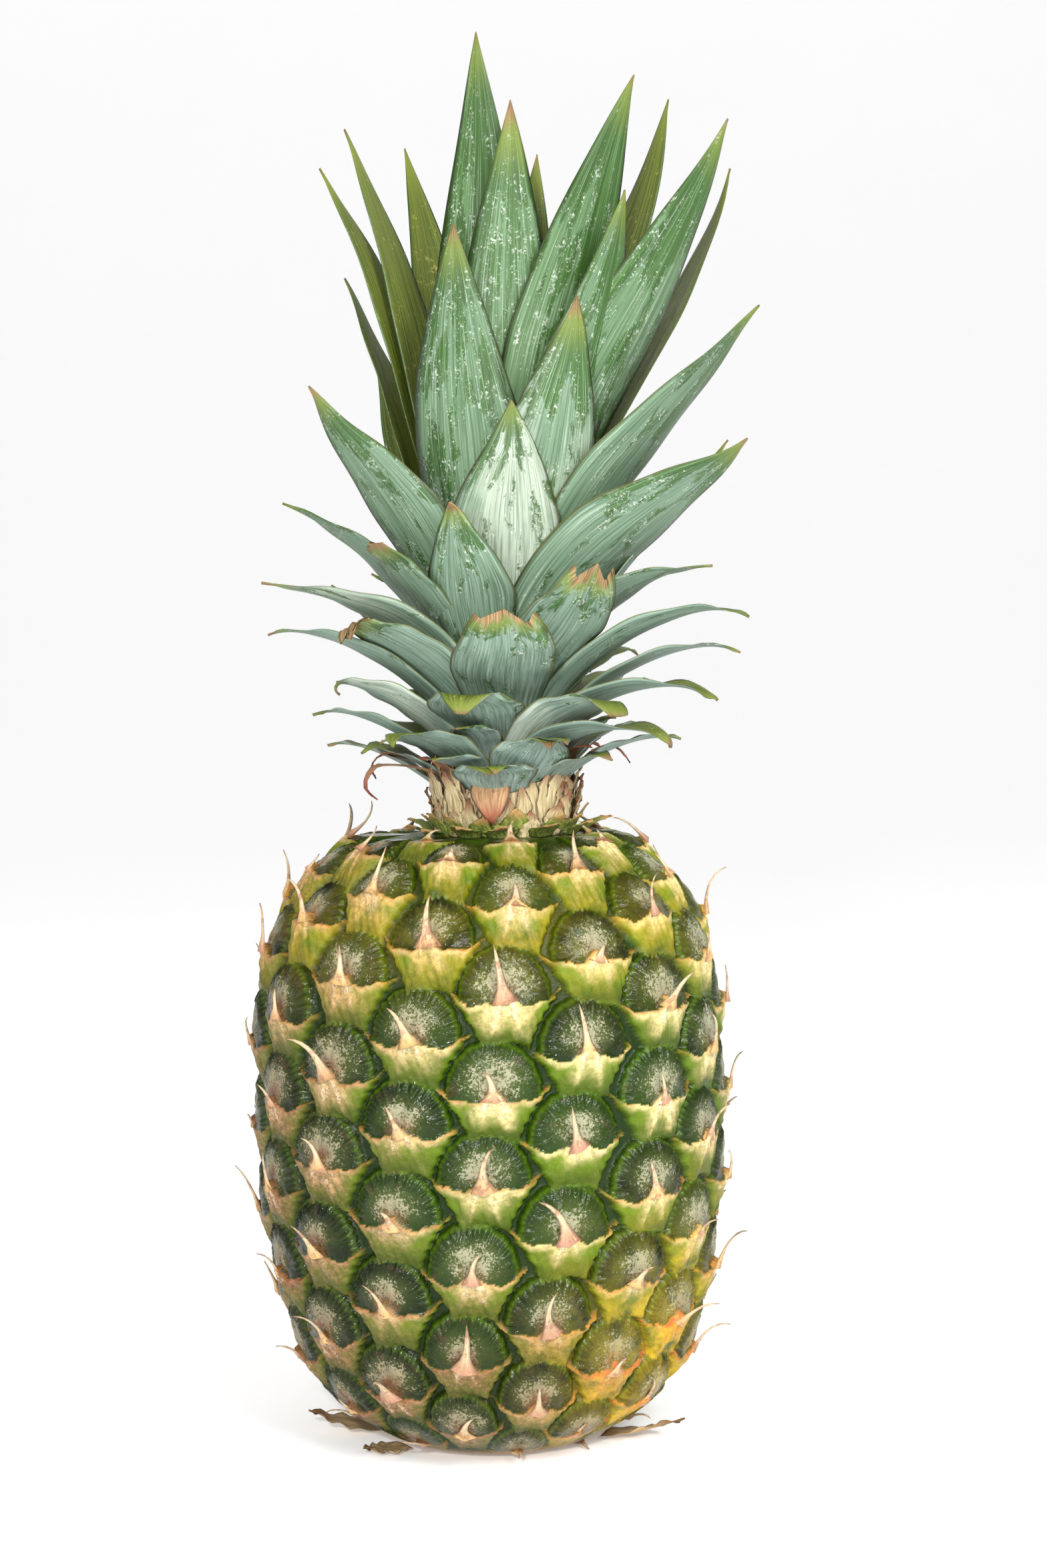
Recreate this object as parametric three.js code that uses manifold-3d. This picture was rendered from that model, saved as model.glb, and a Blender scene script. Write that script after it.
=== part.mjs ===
// A whole fresh pineapple standing on its flat base: fruit, crown stem, crown leaves
// and the dry leaves under it.
// Millimetres, +Z up. The origin is the centre of the flat spot that the fruit stands on.
import * as THREE from 'three';
import Module from 'manifold-3d';

const wasm = await Module();
wasm.setup();

// ---- Fruit body ----
const FRUIT_HEIGHT = 156.5;
const FRUIT_RADIUS = 57.5; // in the grooves, at the widest level
const WIDEST_LEVEL = 94;
const SHOULDER_RADIUS = 18; // where the fruit meets the crown
const BASE_RADIUS = 20; // the flat spot under the fruit
const SHOULDER_FULLNESS = 3.0; // a higher value makes a squarer shoulder
const BASE_FULLNESS = 2.6;

// ---- Eyes: one spiral that winds into 7 rows one way and 10 rows the other ----
const EYE_TURN = -106.07; // degrees from one eye to the next
const EYE_DROP = 1.3; // along the meridian from one eye to the next
const FIRST_EYE_AZIMUTH = 4.9;
const FIRST_EYE_ARC = 57.6; // from the shoulder, along the meridian
const END_CLEARANCE = 7; // from the last eyes to the ends of the skin
const DOME_RISE = 2.6;
const BRACT_RISE = 3.6;
const KEEL_RISE = 4.6;
const SPINE_RISE = 8.5;
const RING_SIDES = 24;

// ---- Crown ----
const CROWN_X = 5; // the crown stands a little to one side of the fruit's axis
const STEM_FOOT_LEVEL = FRUIT_HEIGHT + 0.1;
const STEM_TIP_LEVEL = 236;
const STEM_FOOT_RADIUS = 17.5;
const STEM_TIP_RADIUS = 7;
const STEM_SIDES = 20;
const LEAF_GAP = 0.3;
const LEAF_THICKNESS = 1.5;
const LEAF_STATIONS = 8;
const ROOT_PULL = 0.34; // how far the root and tip directions hold along a leaf, as shares of its span
const TIP_PULL = 0.38;
const DROOP_PULL = 0.24;
const DROOPING = (100 * Math.PI) / 180; // tips that lean more than this hang over
const WIDEST_AT = 0.44;
const FOOT_WIDTH = 0.74; // of the widest
const LOWEST_LEAF_LEVEL = 168;
const HIGHEST_LEAF_LEVEL = 229;
const INNER_LEAF_LEAN = 14; // degrees from upright where the leaf leaves the stem
const OUTER_LEAF_LEAN = 50;

// Crown leaves from the heart outward and down the stem. Azimuth 0 is the front (-Y) and 90 is +X.
// [azimuth that the blade faces, azimuth of its tip, reach from the crown axis, tip height, blade width,
//  lean of the tip from upright, how blunt the tip is]
const LEAVES = [
  [-24, -40, 4, 361, 26, 0, 0],
  [160, 150, 24, 334, 20, 12, 0],
  [36, 76, 38, 348, 28, 20, 0],
  [-150, -150, 48, 340, 18, 28, 0],
  [135, 125, 58, 350, 22, 16, 0],
  [8, 22, 13, 342, 27, 2, 0],
  [-125, -115, 42, 341, 18, 24, 0],
  [44, 84, 61, 337, 28, 24, 0],
  [-118, -105, 46, 330, 20, 30, 0],
  [112, 112, 68, 330, 22, 16, 0],
  [38, 62, 38, 318, 26, 14, 0],
  [-25, -32, 19, 311, 30, 2, 0],
  [178, 178, 46, 328, 22, 16, 0],
  [-168, -172, 58, 306, 23, 26, 0],
  [-112, -112, 42, 302, 20, 26, 0],
  [148, 150, 60, 303, 23, 26, 0],
  [22, 34, 36, 290, 29, 10, 0],
  [54, 84, 68, 290, 29, 40, 0],
  [-145, -148, 62, 285, 23, 30, 0],
  [-44, -80, 48, 272, 24, 32, 0],
  [2, 6, 36, 265, 29, 12, 0],
  [108, 108, 64, 258, 23, 40, 0],
  [170, 172, 64, 266, 23, 36, 0],
  [38, 76, 65, 256, 30, 50, 0],
  [-52, -54, 38, 231, 17, 46, 0.5],
  [-20, -18, 34, 242, 23, 12, 0],
  [-66, -94, 56, 243, 18, 66, 0],
  [-160, -160, 64, 240, 22, 46, 0],
  [95, 98, 55, 246, 22, 50, 0],
  [52, 74, 56, 224, 21, 92, 0],
  [-48, -76, 62, 222, 19, 84, 0],
  [145, 148, 64, 232, 22, 50, 0],
  [26, 34, 42, 222, 26, 34, 0.4],
  [-130, -130, 60, 222, 20, 60, 0],
  [62, 86, 64, 211, 20, 126, 0],
  [-38, -62, 44, 213, 19, 64, 0.4],
  [0, 2, 41, 212, 26, 26, 0.55],
  [-66, -88, 60, 209, 17, 112, 0],
  [176, 176, 62, 212, 21, 70, 0],
  [72, 92, 62, 202, 18, 122, 0],
  [-150, -150, 58, 204, 19, 78, 0],
  [48, 80, 56, 190, 18, 140, 0],
  [-16, -14, 40, 197, 25, 48, 0.1],
  [-52, -80, 46, 196, 16, 110, 0],
  [140, 142, 58, 198, 19, 86, 0],
  [24, 42, 44, 192, 21, 84, 0.3],
  [28, 62, 50, 181, 17, 118, 0],
  [-72, -90, 49, 188, 16, 118, 0],
  [-32, -40, 44, 183, 18, 112, 0],
  [-168, -168, 54, 188, 18, 92, 0],
  [78, 86, 46, 180, 16, 112, 0],
  [14, 20, 35, 183, 21, 72, 0],
  [-92, -96, 46, 180, 15, 110, 0],
  [-6, -6, 31, 176, 22, 80, 0],
];

// Short dry scales round the neck, joined to the stem: [azimuth, foot level, length, width, lean]
const NECK_SCALES = [
  [-5, 158, 13, 15, 12],
  [38, 157.6, 12, 14, 16],
  [78, 158.2, 13, 14, 18],
  [118, 157.6, 12, 14, 15],
  [158, 158, 13, 15, 14],
  [-162, 157.8, 12, 14, 16],
  [-122, 158.2, 13, 14, 15],
  [-82, 157.6, 12, 14, 18],
  [-44, 158, 12, 14, 14],
];

// Dry leaves pressed out under the fruit: [azimuth, inner radius, outer radius, width, height of the tip]
const BASAL_LEAVES = [
  [-90, 29, 49, 11, 5.5],
  [-55, 29, 41, 10, 2.5],
  [72, 29, 50, 12, 6],
  [160, 29, 48, 11, 4],
];

const radians = (degrees) => (degrees * Math.PI) / 180;
const mix = (a, b, share) => a + (b - a) * share;
const clamp = (value, low, high) => Math.min(high, Math.max(low, value));

/** A repeatable value from 0 to 1 for natural unevenness. */
function vary(index, kind) {
  const wave = Math.sin(index * 12.9898 + kind * 78.233) * 43758.5453;
  return wave - Math.floor(wave);
}

function ease(value) {
  const x = clamp(value, 0, 1);
  return x * x * (3 - 2 * x);
}

// ---------------------------------------------------------------- fruit

function fruitRadius(level) {
  if (level >= WIDEST_LEVEL) {
    const share = clamp((level - WIDEST_LEVEL) / (FRUIT_HEIGHT - WIDEST_LEVEL), 0, 1);
    return mix(SHOULDER_RADIUS, FRUIT_RADIUS, Math.sqrt(1 - share ** SHOULDER_FULLNESS));
  }
  const share = clamp((WIDEST_LEVEL - level) / WIDEST_LEVEL, 0, 1);
  return mix(BASE_RADIUS, FRUIT_RADIUS, Math.sqrt(1 - share ** BASE_FULLNESS));
}

/** Points down the meridian from the shoulder to the base, each with its arc length. */
function meridianPoints() {
  const points = [];
  const count = 600;
  for (let i = 0; i <= count; i++) {
    const level = ((1 + Math.cos((Math.PI * i) / count)) / 2) * FRUIT_HEIGHT;
    const radius = fruitRadius(level);
    const last = points[i - 1];
    const arc = last ? last.arc + Math.hypot(level - last.level, radius - last.radius) : 0;
    points.push({ arc, level, radius });
  }
  return points;
}

const MERIDIAN = meridianPoints();
const MERIDIAN_LENGTH = MERIDIAN[MERIDIAN.length - 1].arc;

function meridianAt(arc) {
  const wanted = clamp(arc, 0, MERIDIAN_LENGTH);
  let low = 0;
  let high = MERIDIAN.length - 1;
  while (high - low > 1) {
    const middle = (low + high) >> 1;
    if (MERIDIAN[middle].arc <= wanted) low = middle;
    else high = middle;
  }
  const a = MERIDIAN[low];
  const b = MERIDIAN[high];
  const share = (wanted - a.arc) / (b.arc - a.arc || 1);
  return { level: mix(a.level, b.level, share), radius: mix(a.radius, b.radius, share) };
}

/** A point on the skin, raised by rise along the outward normal. */
function skinPoint(azimuth, arc, rise) {
  const here = meridianAt(arc);
  const above = meridianAt(arc - 1.5);
  const below = meridianAt(arc + 1.5);
  const slope = Math.hypot(below.radius - above.radius, below.level - above.level);
  const outward = (above.level - below.level) / slope;
  const upward = (below.radius - above.radius) / slope;
  const calm = ease(here.level / 22) * ease((FRUIT_HEIGHT + 6 - here.level) / 12);
  const radius = here.radius + rise * calm * outward;
  const level = clamp(here.level + rise * calm * upward, 0.3, FRUIT_HEIGHT);
  const turn = radians(azimuth);
  return [radius * Math.sin(turn), -radius * Math.cos(turn), level];
}

function eyeCentre(index) {
  return {
    azimuth: FIRST_EYE_AZIMUTH + EYE_TURN * index + (vary(index, 1) - 0.5) * 1.6,
    arc: FIRST_EYE_ARC + EYE_DROP * index + (vary(index, 2) - 0.5) * 1.2,
  };
}

/** Where three eyes meet; the azimuth is given next to that of the eye it is asked for. */
function meetingPoint(first, steps, beside) {
  let azimuth = 0;
  let arc = 0;
  for (const step of [0, ...steps]) {
    const eye = eyeCentre(first + step);
    const turns = Math.round((eye.azimuth - beside) / 360);
    azimuth += (eye.azimuth - 360 * turns) / 3;
    arc += eye.arc / 3;
  }
  return { azimuth, arc: clamp(arc, 1.2, MERIDIAN_LENGTH - 1.2) };
}

function makeFruit() {
  const positions = [];
  const triangles = [];
  const corners = new Map();
  const add = (point) => positions.push(point) - 1;
  const first = Math.ceil((END_CLEARANCE - FIRST_EYE_ARC) / EYE_DROP);
  const last = Math.floor((MERIDIAN_LENGTH - END_CLEARANCE - FIRST_EYE_ARC) / EYE_DROP);
  for (let eye = first; eye <= last; eye++) {
    const { azimuth, arc } = eyeCentre(eye);
    // Counter-clockwise from the right tip, seen from outside.
    const around = [
      [eye - 7, [7, 17]],
      [eye - 17, [10, 17]],
      [eye - 17, [7, 17]],
      [eye - 10, [10, 17]],
      [eye, [7, 17]],
      [eye, [10, 17]],
    ];
    const places = around.map(([from, steps]) => meetingPoint(from, steps, azimuth));
    const rim = around.map(([from, steps], i) => {
      const key = `${from}/${steps[0]}`;
      if (!corners.has(key)) corners.set(key, add(skinPoint(places[i].azimuth, places[i].arc, 0)));
      return corners.get(key);
    });
    const width = (places[0].azimuth - places[3].azimuth) / 2;
    const height = (places[4].arc + places[5].arc - places[1].arc - places[2].arc) / 4;
    const at = (across, up, rise) => add(skinPoint(azimuth + across * width, arc - up * height, rise));
    const rises = [BRACT_RISE, DOME_RISE, DOME_RISE, BRACT_RISE, DOME_RISE, DOME_RISE].map((x) => x * 0.8);
    const ring = places.map((place, i) =>
      add(skinPoint(mix(azimuth, place.azimuth, 0.76), mix(arc, place.arc, 0.76), rises[i])));
    const dome = at(0, 0.42, DOME_RISE * 1.25);
    const foot = at(0, 0.06, DOME_RISE);
    const left = at(-0.42, -0.02, BRACT_RISE);
    const right = at(0.42, -0.02, BRACT_RISE);
    const spineLeft = at(-0.15, -0.03, BRACT_RISE * 1.1);
    const spineRight = at(0.15, -0.03, BRACT_RISE * 1.1);
    const keel = at(0, -0.26, KEEL_RISE);
    const lean = (vary(eye, 3) - 0.5) * 0.3;
    const spine = at(lean, 0.3 + 0.35 * vary(eye, 4), SPINE_RISE * mix(0.75, 1.15, vary(eye, 5)));
    for (let i = 0; i < 6; i++) {
      const next = (i + 1) % 6;
      triangles.push([rim[i], rim[next], ring[next]], [rim[i], ring[next], ring[i]]);
    }
    const domeEdge = [ring[0], ring[1], ring[2], ring[3], left, spineLeft, foot, spineRight, right];
    domeEdge.forEach((point, i) => triangles.push([dome, point, domeEdge[(i + 1) % domeEdge.length]]));
    triangles.push(
      [ring[3], ring[4], left],
      [left, ring[4], keel],
      [left, keel, spineLeft],
      [ring[4], ring[5], keel],
      [ring[5], right, keel],
      [ring[5], ring[0], right],
      [right, spineRight, keel],
      [spineLeft, keel, spine],
      [keel, spineRight, spine],
      [spineRight, foot, spine],
      [foot, spineLeft, spine],
    );
  }
  closeEnds(positions, triangles);
  return toManifold(positions, triangles);
}

/** Edges that only one triangle uses, as loops of point numbers. */
function openLoops(triangles) {
  const edges = new Map();
  for (const [a, b, c] of triangles) {
    for (const [from, to] of [[a, b], [b, c], [c, a]]) edges.set(`${from}>${to}`, [from, to]);
  }
  const next = new Map();
  for (const [from, to] of edges.values()) {
    if (!edges.has(`${to}>${from}`)) next.set(from, to);
  }
  const loops = [];
  while (next.size) {
    const loop = [];
    let point = next.keys().next().value;
    while (next.has(point)) {
      loop.push(point);
      const following = next.get(point);
      next.delete(point);
      point = following;
    }
    loops.push(loop);
  }
  return loops;
}

/** Joins the open top and bottom of the skin to a round edge each, and covers those with flat discs. */
function closeEnds(positions, triangles) {
  const turnOf = ([x, y]) => (Math.atan2(x, -y) + 2 * Math.PI) % (2 * Math.PI);
  for (const loop of openLoops(triangles)) {
    const top = positions[loop[0]][2] > WIDEST_LEVEL;
    const level = top ? FRUIT_HEIGHT : 0;
    const radius = top ? SHOULDER_RADIUS : BASE_RADIUS;
    const skin = [...loop].sort((a, b) => turnOf(positions[a]) - turnOf(positions[b]));
    const ring = [];
    for (let i = 0; i < RING_SIDES; i++) {
      const turn = (2 * Math.PI * (i + 0.5)) / RING_SIDES;
      ring.push(positions.push([radius * Math.sin(turn), -radius * Math.cos(turn), level]) - 1);
    }
    const centre = positions.push([0, 0, level]) - 1;
    const place = (a, b, c) => triangles.push(top ? [a, b, c] : [a, c, b]);
    let i = 0;
    let j = 0;
    while (i < skin.length || j < ring.length) {
      const skinHere = skin[i % skin.length];
      const ringHere = ring[j % ring.length];
      const skinNext = skin[(i + 1) % skin.length];
      const ringNext = ring[(j + 1) % ring.length];
      const skinTurn = i + 1 < skin.length ? turnOf(positions[skinNext]) : turnOf(positions[skinNext]) + 2 * Math.PI;
      const ringTurn = j + 1 < ring.length ? turnOf(positions[ringNext]) : turnOf(positions[ringNext]) + 2 * Math.PI;
      if (j >= ring.length || (i < skin.length && skinTurn <= ringTurn)) {
        place(skinHere, skinNext, ringHere);
        i++;
      } else {
        place(skinHere, ringNext, ringHere);
        j++;
      }
    }
    ring.forEach((point, k) => place(point, ring[(k + 1) % ring.length], centre));
  }
}

// ---------------------------------------------------------------- crown

function stemRadius(level) {
  const share = clamp((level - STEM_FOOT_LEVEL) / (STEM_TIP_LEVEL - STEM_FOOT_LEVEL), 0, 1);
  return mix(STEM_FOOT_RADIUS, STEM_TIP_RADIUS, share);
}

/** The middle line of a leaf, from its root on the stem to its tip. */
function leafLine(leaf) {
  const { facing, tipAzimuth, root, rootLevel, reach, tipLevel, rootLean, tipLean } = leaf;
  const outOn = (azimuth) => new THREE.Vector3(Math.sin(azimuth), -Math.cos(azimuth), 0);
  const leaning = (azimuth, lean) =>
    outOn(azimuth).multiplyScalar(Math.sin(lean)).add(new THREE.Vector3(0, 0, Math.cos(lean)));
  const start = outOn(facing).multiplyScalar(root).add(new THREE.Vector3(leaf.x, 0, rootLevel));
  const end = outOn(tipAzimuth).multiplyScalar(reach).add(new THREE.Vector3(leaf.x, 0, tipLevel));
  const span = start.distanceTo(end);
  const bend = tipLean > DROOPING ? DROOP_PULL : TIP_PULL;
  return new THREE.CubicBezierCurve3(
    start,
    start.clone().addScaledVector(leaning(facing, rootLean), ROOT_PULL * span),
    end.clone().addScaledVector(leaning(tipAzimuth, tipLean), -bend * span),
    end,
  );
}

/** Blade width along the leaf, as a share of its widest. */
function bladeShare(t, blunt) {
  if (t < WIDEST_AT) return mix(FOOT_WIDTH, 1, ease(t / WIDEST_AT));
  return 1 - (1 - blunt) * ((t - WIDEST_AT) / (1 - WIDEST_AT)) ** mix(1.6, 4, blunt);
}

/** A channelled blade with thin edges and a pointed tip. swell makes it thicker and wider all round. */
function makeBlade(leaf, thickness, stations, swell = 0) {
  const line = leafLine(leaf);
  const across = new THREE.Vector3(Math.cos(leaf.facing), Math.sin(leaf.facing), 0);
  const positions = [];
  const triangles = [];
  const place = (point) => positions.push(point.toArray()) - 1;
  const rings = [];
  for (let i = 0; i < stations; i++) {
    const t = (i / stations) * 0.985;
    const here = line.getPoint(t);
    const along = line.getTangent(t);
    const side = across.clone().addScaledVector(along, -across.dot(along)).normalize();
    const out = side.clone().cross(along);
    const half = (leaf.width / 2) * bladeShare(t, leaf.blunt) + swell;
    const cup = (half * half) / (2 * mix(leaf.root + 3, 48, t));
    const back = (thickness / 2) * mix(1, 0.55, t) + swell;
    const point = (share, face) =>
      place(here.clone().addScaledVector(side, share * half).addScaledVector(out, face - cup * share * share));
    rings.push([
      point(-1, 0),
      point(-0.45, back),
      point(0.45, back),
      point(1, 0),
      point(0.45, -back),
      point(-0.45, -back),
    ]);
  }
  for (let i = 0; i + 1 < stations; i++) {
    for (let k = 0; k < 6; k++) {
      const next = (k + 1) % 6;
      triangles.push(
        [rings[i][k], rings[i][next], rings[i + 1][next]],
        [rings[i][k], rings[i + 1][next], rings[i + 1][k]],
      );
    }
  }
  const tip = place(line.getPoint(1));
  const start = rings[0];
  const finish = rings[stations - 1];
  for (let k = 0; k < 6; k++) triangles.push([finish[k], finish[(k + 1) % 6], tip]);
  triangles.push([start[0], start[5], start[1]], [start[1], start[5], start[4]]);
  triangles.push([start[1], start[4], start[2]], [start[2], start[4], start[3]]);
  return toManifold(positions, triangles);
}

function crownLeaf(index) {
  const [facing, tipAzimuth, reach, tipLevel, width, tipLean, blunt] = LEAVES[index];
  const share = index / (LEAVES.length - 1);
  const rootLevel = mix(HIGHEST_LEAF_LEVEL, LOWEST_LEAF_LEVEL, share);
  return {
    x: CROWN_X,
    facing: radians(facing),
    tipAzimuth: radians(tipAzimuth),
    reach,
    tipLevel,
    width,
    blunt,
    rootLevel,
    root: stemRadius(rootLevel) + 1.6,
    rootLean: radians(mix(INNER_LEAF_LEAN, OUTER_LEAF_LEAN, share ** 1.3)),
    tipLean: radians(tipLean),
  };
}

function neckScale([azimuth, level, length, width, lean]) {
  const slope = radians(lean);
  const root = stemRadius(level) - 1.5;
  return {
    x: CROWN_X,
    facing: radians(azimuth),
    tipAzimuth: radians(azimuth),
    width,
    blunt: 0,
    rootLevel: level,
    root,
    reach: root + 1.5 + length * Math.sin(slope),
    tipLevel: level + length * Math.cos(slope),
    rootLean: slope * 0.6,
    tipLean: slope * 1.3,
  };
}

function makeStem() {
  const profile = [];
  const steps = 7;
  for (let i = 0; i <= steps; i++) {
    const level = mix(STEM_FOOT_LEVEL, STEM_TIP_LEVEL - 5, i / steps);
    profile.push([stemRadius(level), level]);
  }
  profile.push([STEM_TIP_RADIUS * 0.62, STEM_TIP_LEVEL - 1.5], [0.01, STEM_TIP_LEVEL]);
  const positions = [];
  const triangles = [];
  const rings = profile.slice(0, -1).map(([radius, level]) => {
    const ring = [];
    for (let i = 0; i < STEM_SIDES; i++) {
      const turn = (2 * Math.PI * i) / STEM_SIDES;
      ring.push(positions.push([CROWN_X + radius * Math.sin(turn), -radius * Math.cos(turn), level]) - 1);
    }
    return ring;
  });
  const bottom = positions.push([CROWN_X, 0, STEM_FOOT_LEVEL]) - 1;
  const top = positions.push([CROWN_X, 0, STEM_TIP_LEVEL]) - 1;
  for (let k = 0; k < STEM_SIDES; k++) {
    const next = (k + 1) % STEM_SIDES;
    for (let i = 0; i + 1 < rings.length; i++) {
      triangles.push([rings[i][k], rings[i][next], rings[i + 1][next]]);
      triangles.push([rings[i][k], rings[i + 1][next], rings[i + 1][k]]);
    }
    triangles.push([rings[0][next], rings[0][k], bottom], [rings.at(-1)[k], rings.at(-1)[next], top]);
  }
  let stem = toManifold(positions, triangles);
  for (const scale of NECK_SCALES) stem = stem.add(makeBlade(neckScale(scale), 1.6, 4));
  return stem;
}

function basalLeaf([azimuth, root, reach, width, tipLevel]) {
  return {
    x: 0,
    facing: radians(azimuth),
    tipAzimuth: radians(azimuth),
    width,
    blunt: 0,
    root,
    rootLevel: 0.75,
    reach,
    tipLevel,
    rootLean: radians(89),
    tipLean: radians(68),
  };
}

// ---------------------------------------------------------------- joining and cutting

function toManifold(positions, triangles) {
  return new wasm.Manifold(new wasm.Mesh({
    numProp: 3,
    vertProperties: new Float32Array(positions.flat()),
    triVerts: new Uint32Array(triangles.flat()),
  }));
}

function apart(a, b) {
  const p = a.boundingBox();
  const q = b.boundingBox();
  return [0, 1, 2].some((axis) => p.max[axis] < q.min[axis] || q.max[axis] < p.min[axis]);
}

/** What is left of a body once its neighbours are cut out of it: its largest piece. */
function clearOf(body, cutters) {
  let left = body;
  for (const cutter of cutters) {
    if (!apart(left, cutter)) left = left.subtract(cutter);
  }
  const pieces = left.decompose();
  pieces.sort((a, b) => b.volume() - a.volume());
  return pieces[0];
}

const group = new THREE.Group();
group.name = 'pineapple';

function addPart(name, body, colour, roughness) {
  const mesh = body.getMesh();
  const geometry = new THREE.BufferGeometry();
  geometry.setAttribute('position', new THREE.BufferAttribute(mesh.vertProperties, 3));
  geometry.setIndex(new THREE.BufferAttribute(mesh.triVerts, 1));
  const solid = new THREE.Mesh(
    geometry,
    new THREE.MeshStandardMaterial({ color: colour, roughness, metalness: 0 }),
  );
  solid.name = name;
  group.add(solid);
}

const stem = makeStem();
const leaves = LEAVES.map((_, index) => crownLeaf(index));
const cutters = [stem];
const fruit = makeFruit();
const placed = [];
for (let index = leaves.length - 1; index >= 0; index--) {
  const blade = makeBlade(leaves[index], LEAF_THICKNESS, LEAF_STATIONS);
  placed.push([index, clearOf(blade, cutters)]);
  cutters.push(makeBlade(leaves[index], LEAF_THICKNESS, LEAF_STATIONS, LEAF_GAP));
}
addPart('fruit', fruit, 0x5f7a22, 0.5);
addPart('crown_stem', stem, 0xcbbd8a, 0.8);
placed.reverse();
for (const [index, blade] of placed) {
  addPart(`leaf_${String(index + 1).padStart(2, '0')}`, blade, 0x7f9f7c, 0.6);
}
BASAL_LEAVES.forEach((leaf, index) => {
  addPart(`basal_leaf_${index + 1}`, makeBlade(basalLeaf(leaf), 0.8, 5), 0xa98b5a, 0.85);
});

export default group;
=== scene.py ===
"""A whole fresh pineapple: rind with eyes and spines, crown, neck scales and dry base leaves."""

import math

import bpy
import numpy as np
from mathutils import Matrix, Vector


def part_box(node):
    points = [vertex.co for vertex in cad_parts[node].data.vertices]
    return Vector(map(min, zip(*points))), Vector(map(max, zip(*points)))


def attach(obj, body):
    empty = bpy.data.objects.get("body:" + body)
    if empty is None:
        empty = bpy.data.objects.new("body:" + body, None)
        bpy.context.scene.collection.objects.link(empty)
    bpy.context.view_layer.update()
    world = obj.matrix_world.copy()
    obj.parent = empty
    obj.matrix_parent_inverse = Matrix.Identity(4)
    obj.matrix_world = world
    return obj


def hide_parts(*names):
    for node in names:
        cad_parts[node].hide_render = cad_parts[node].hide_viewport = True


bl_info = {
    "name": "Pineapple",
    "version": (1, 0, 0),
    "blender": (4, 5, 0),
    "location": "3D View > Sidebar > Pineapple",
    "description": "Builds a whole fresh pineapple around its frame",
    "category": "Add Mesh",
}

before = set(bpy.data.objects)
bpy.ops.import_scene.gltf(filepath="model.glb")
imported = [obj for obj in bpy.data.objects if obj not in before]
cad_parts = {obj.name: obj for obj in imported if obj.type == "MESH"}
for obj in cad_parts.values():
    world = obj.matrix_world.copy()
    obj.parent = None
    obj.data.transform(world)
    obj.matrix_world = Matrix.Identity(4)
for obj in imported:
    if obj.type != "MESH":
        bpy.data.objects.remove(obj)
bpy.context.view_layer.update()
MM = 0.001

FRUIT_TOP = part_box("fruit")[1][2] / MM
STEM_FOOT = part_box("crown_stem")[0][2] / MM
LEAF_NODES = sorted(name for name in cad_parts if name.startswith("leaf_"))
BASAL_NODES = sorted(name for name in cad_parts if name.startswith("basal_leaf_"))

# ---- Fruit body, in millimetres ----
GROOVE_RADIUS = 57.5
WIDEST_LEVEL = 94.0
SHOULDER_RADIUS = 18.0
BASE_RADIUS = 20.0
SHOULDER_FULLNESS = 3.0
BASE_FULLNESS = 2.6

# ---- Eyes: one spiral with 7 rows one way and 10 rows the other ----
EYE_TURN = -106.07
EYE_DROP = 1.3
FIRST_EYE_AZIMUTH = 4.9
FIRST_EYE_ARC = 57.6
END_CLEARANCE = 7.0
EYE_SCALE_RADIUS = 60.0  # eye widths below are as they are where the fruit has this radius
DOME_HALF_WIDTH = 12.2
DOME_HEIGHT = 12.9
BRACT_HALF_WIDTH = 14.4
BRACT_DEPTH = 12.4
BRACT_FOOT_HALF_WIDTH = 6.0
EYE_REACH = (15.2, 15.0)  # how far an eye spreads sideways and lengthwise from its spine's foot
EYE_NEIGHBOURS = 14  # how many eyes each way along the spiral can cover the same point
RIND_ROWS = 420
RIND_COLUMNS = 760
SPINE_STATIONS = 9
SPINE_CORNERS = ((-1, 0), (-0.5, 0.5), (0, 1), (0.5, 0.5), (1, 0), (0, -0.35))  # (across, out)

# ---- Crown, in millimetres ----
CROWN_X = 5.0
STEM_FOOT_RADIUS = 17.5
STEM_TIP_RADIUS = 7.0
STEM_TIP_LEVEL = 236.0
STEM_TIP_HEIGHT = 4.0  # of the blunt tip
LOWEST_LEAF_LEVEL = 168.0
HIGHEST_LEAF_LEVEL = 229.0
INNER_LEAF_LEAN = 14.0
OUTER_LEAF_LEAN = 50.0
WIDEST_AT = 0.44  # share of the blade's length
ROOT_PULL = 0.34  # how far the root and tip directions hold along a leaf, as shares of its span
TIP_PULL = 0.38
DROOP_PULL = 0.24
DROOPING = math.radians(100)  # tips that lean more than this hang over

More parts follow.
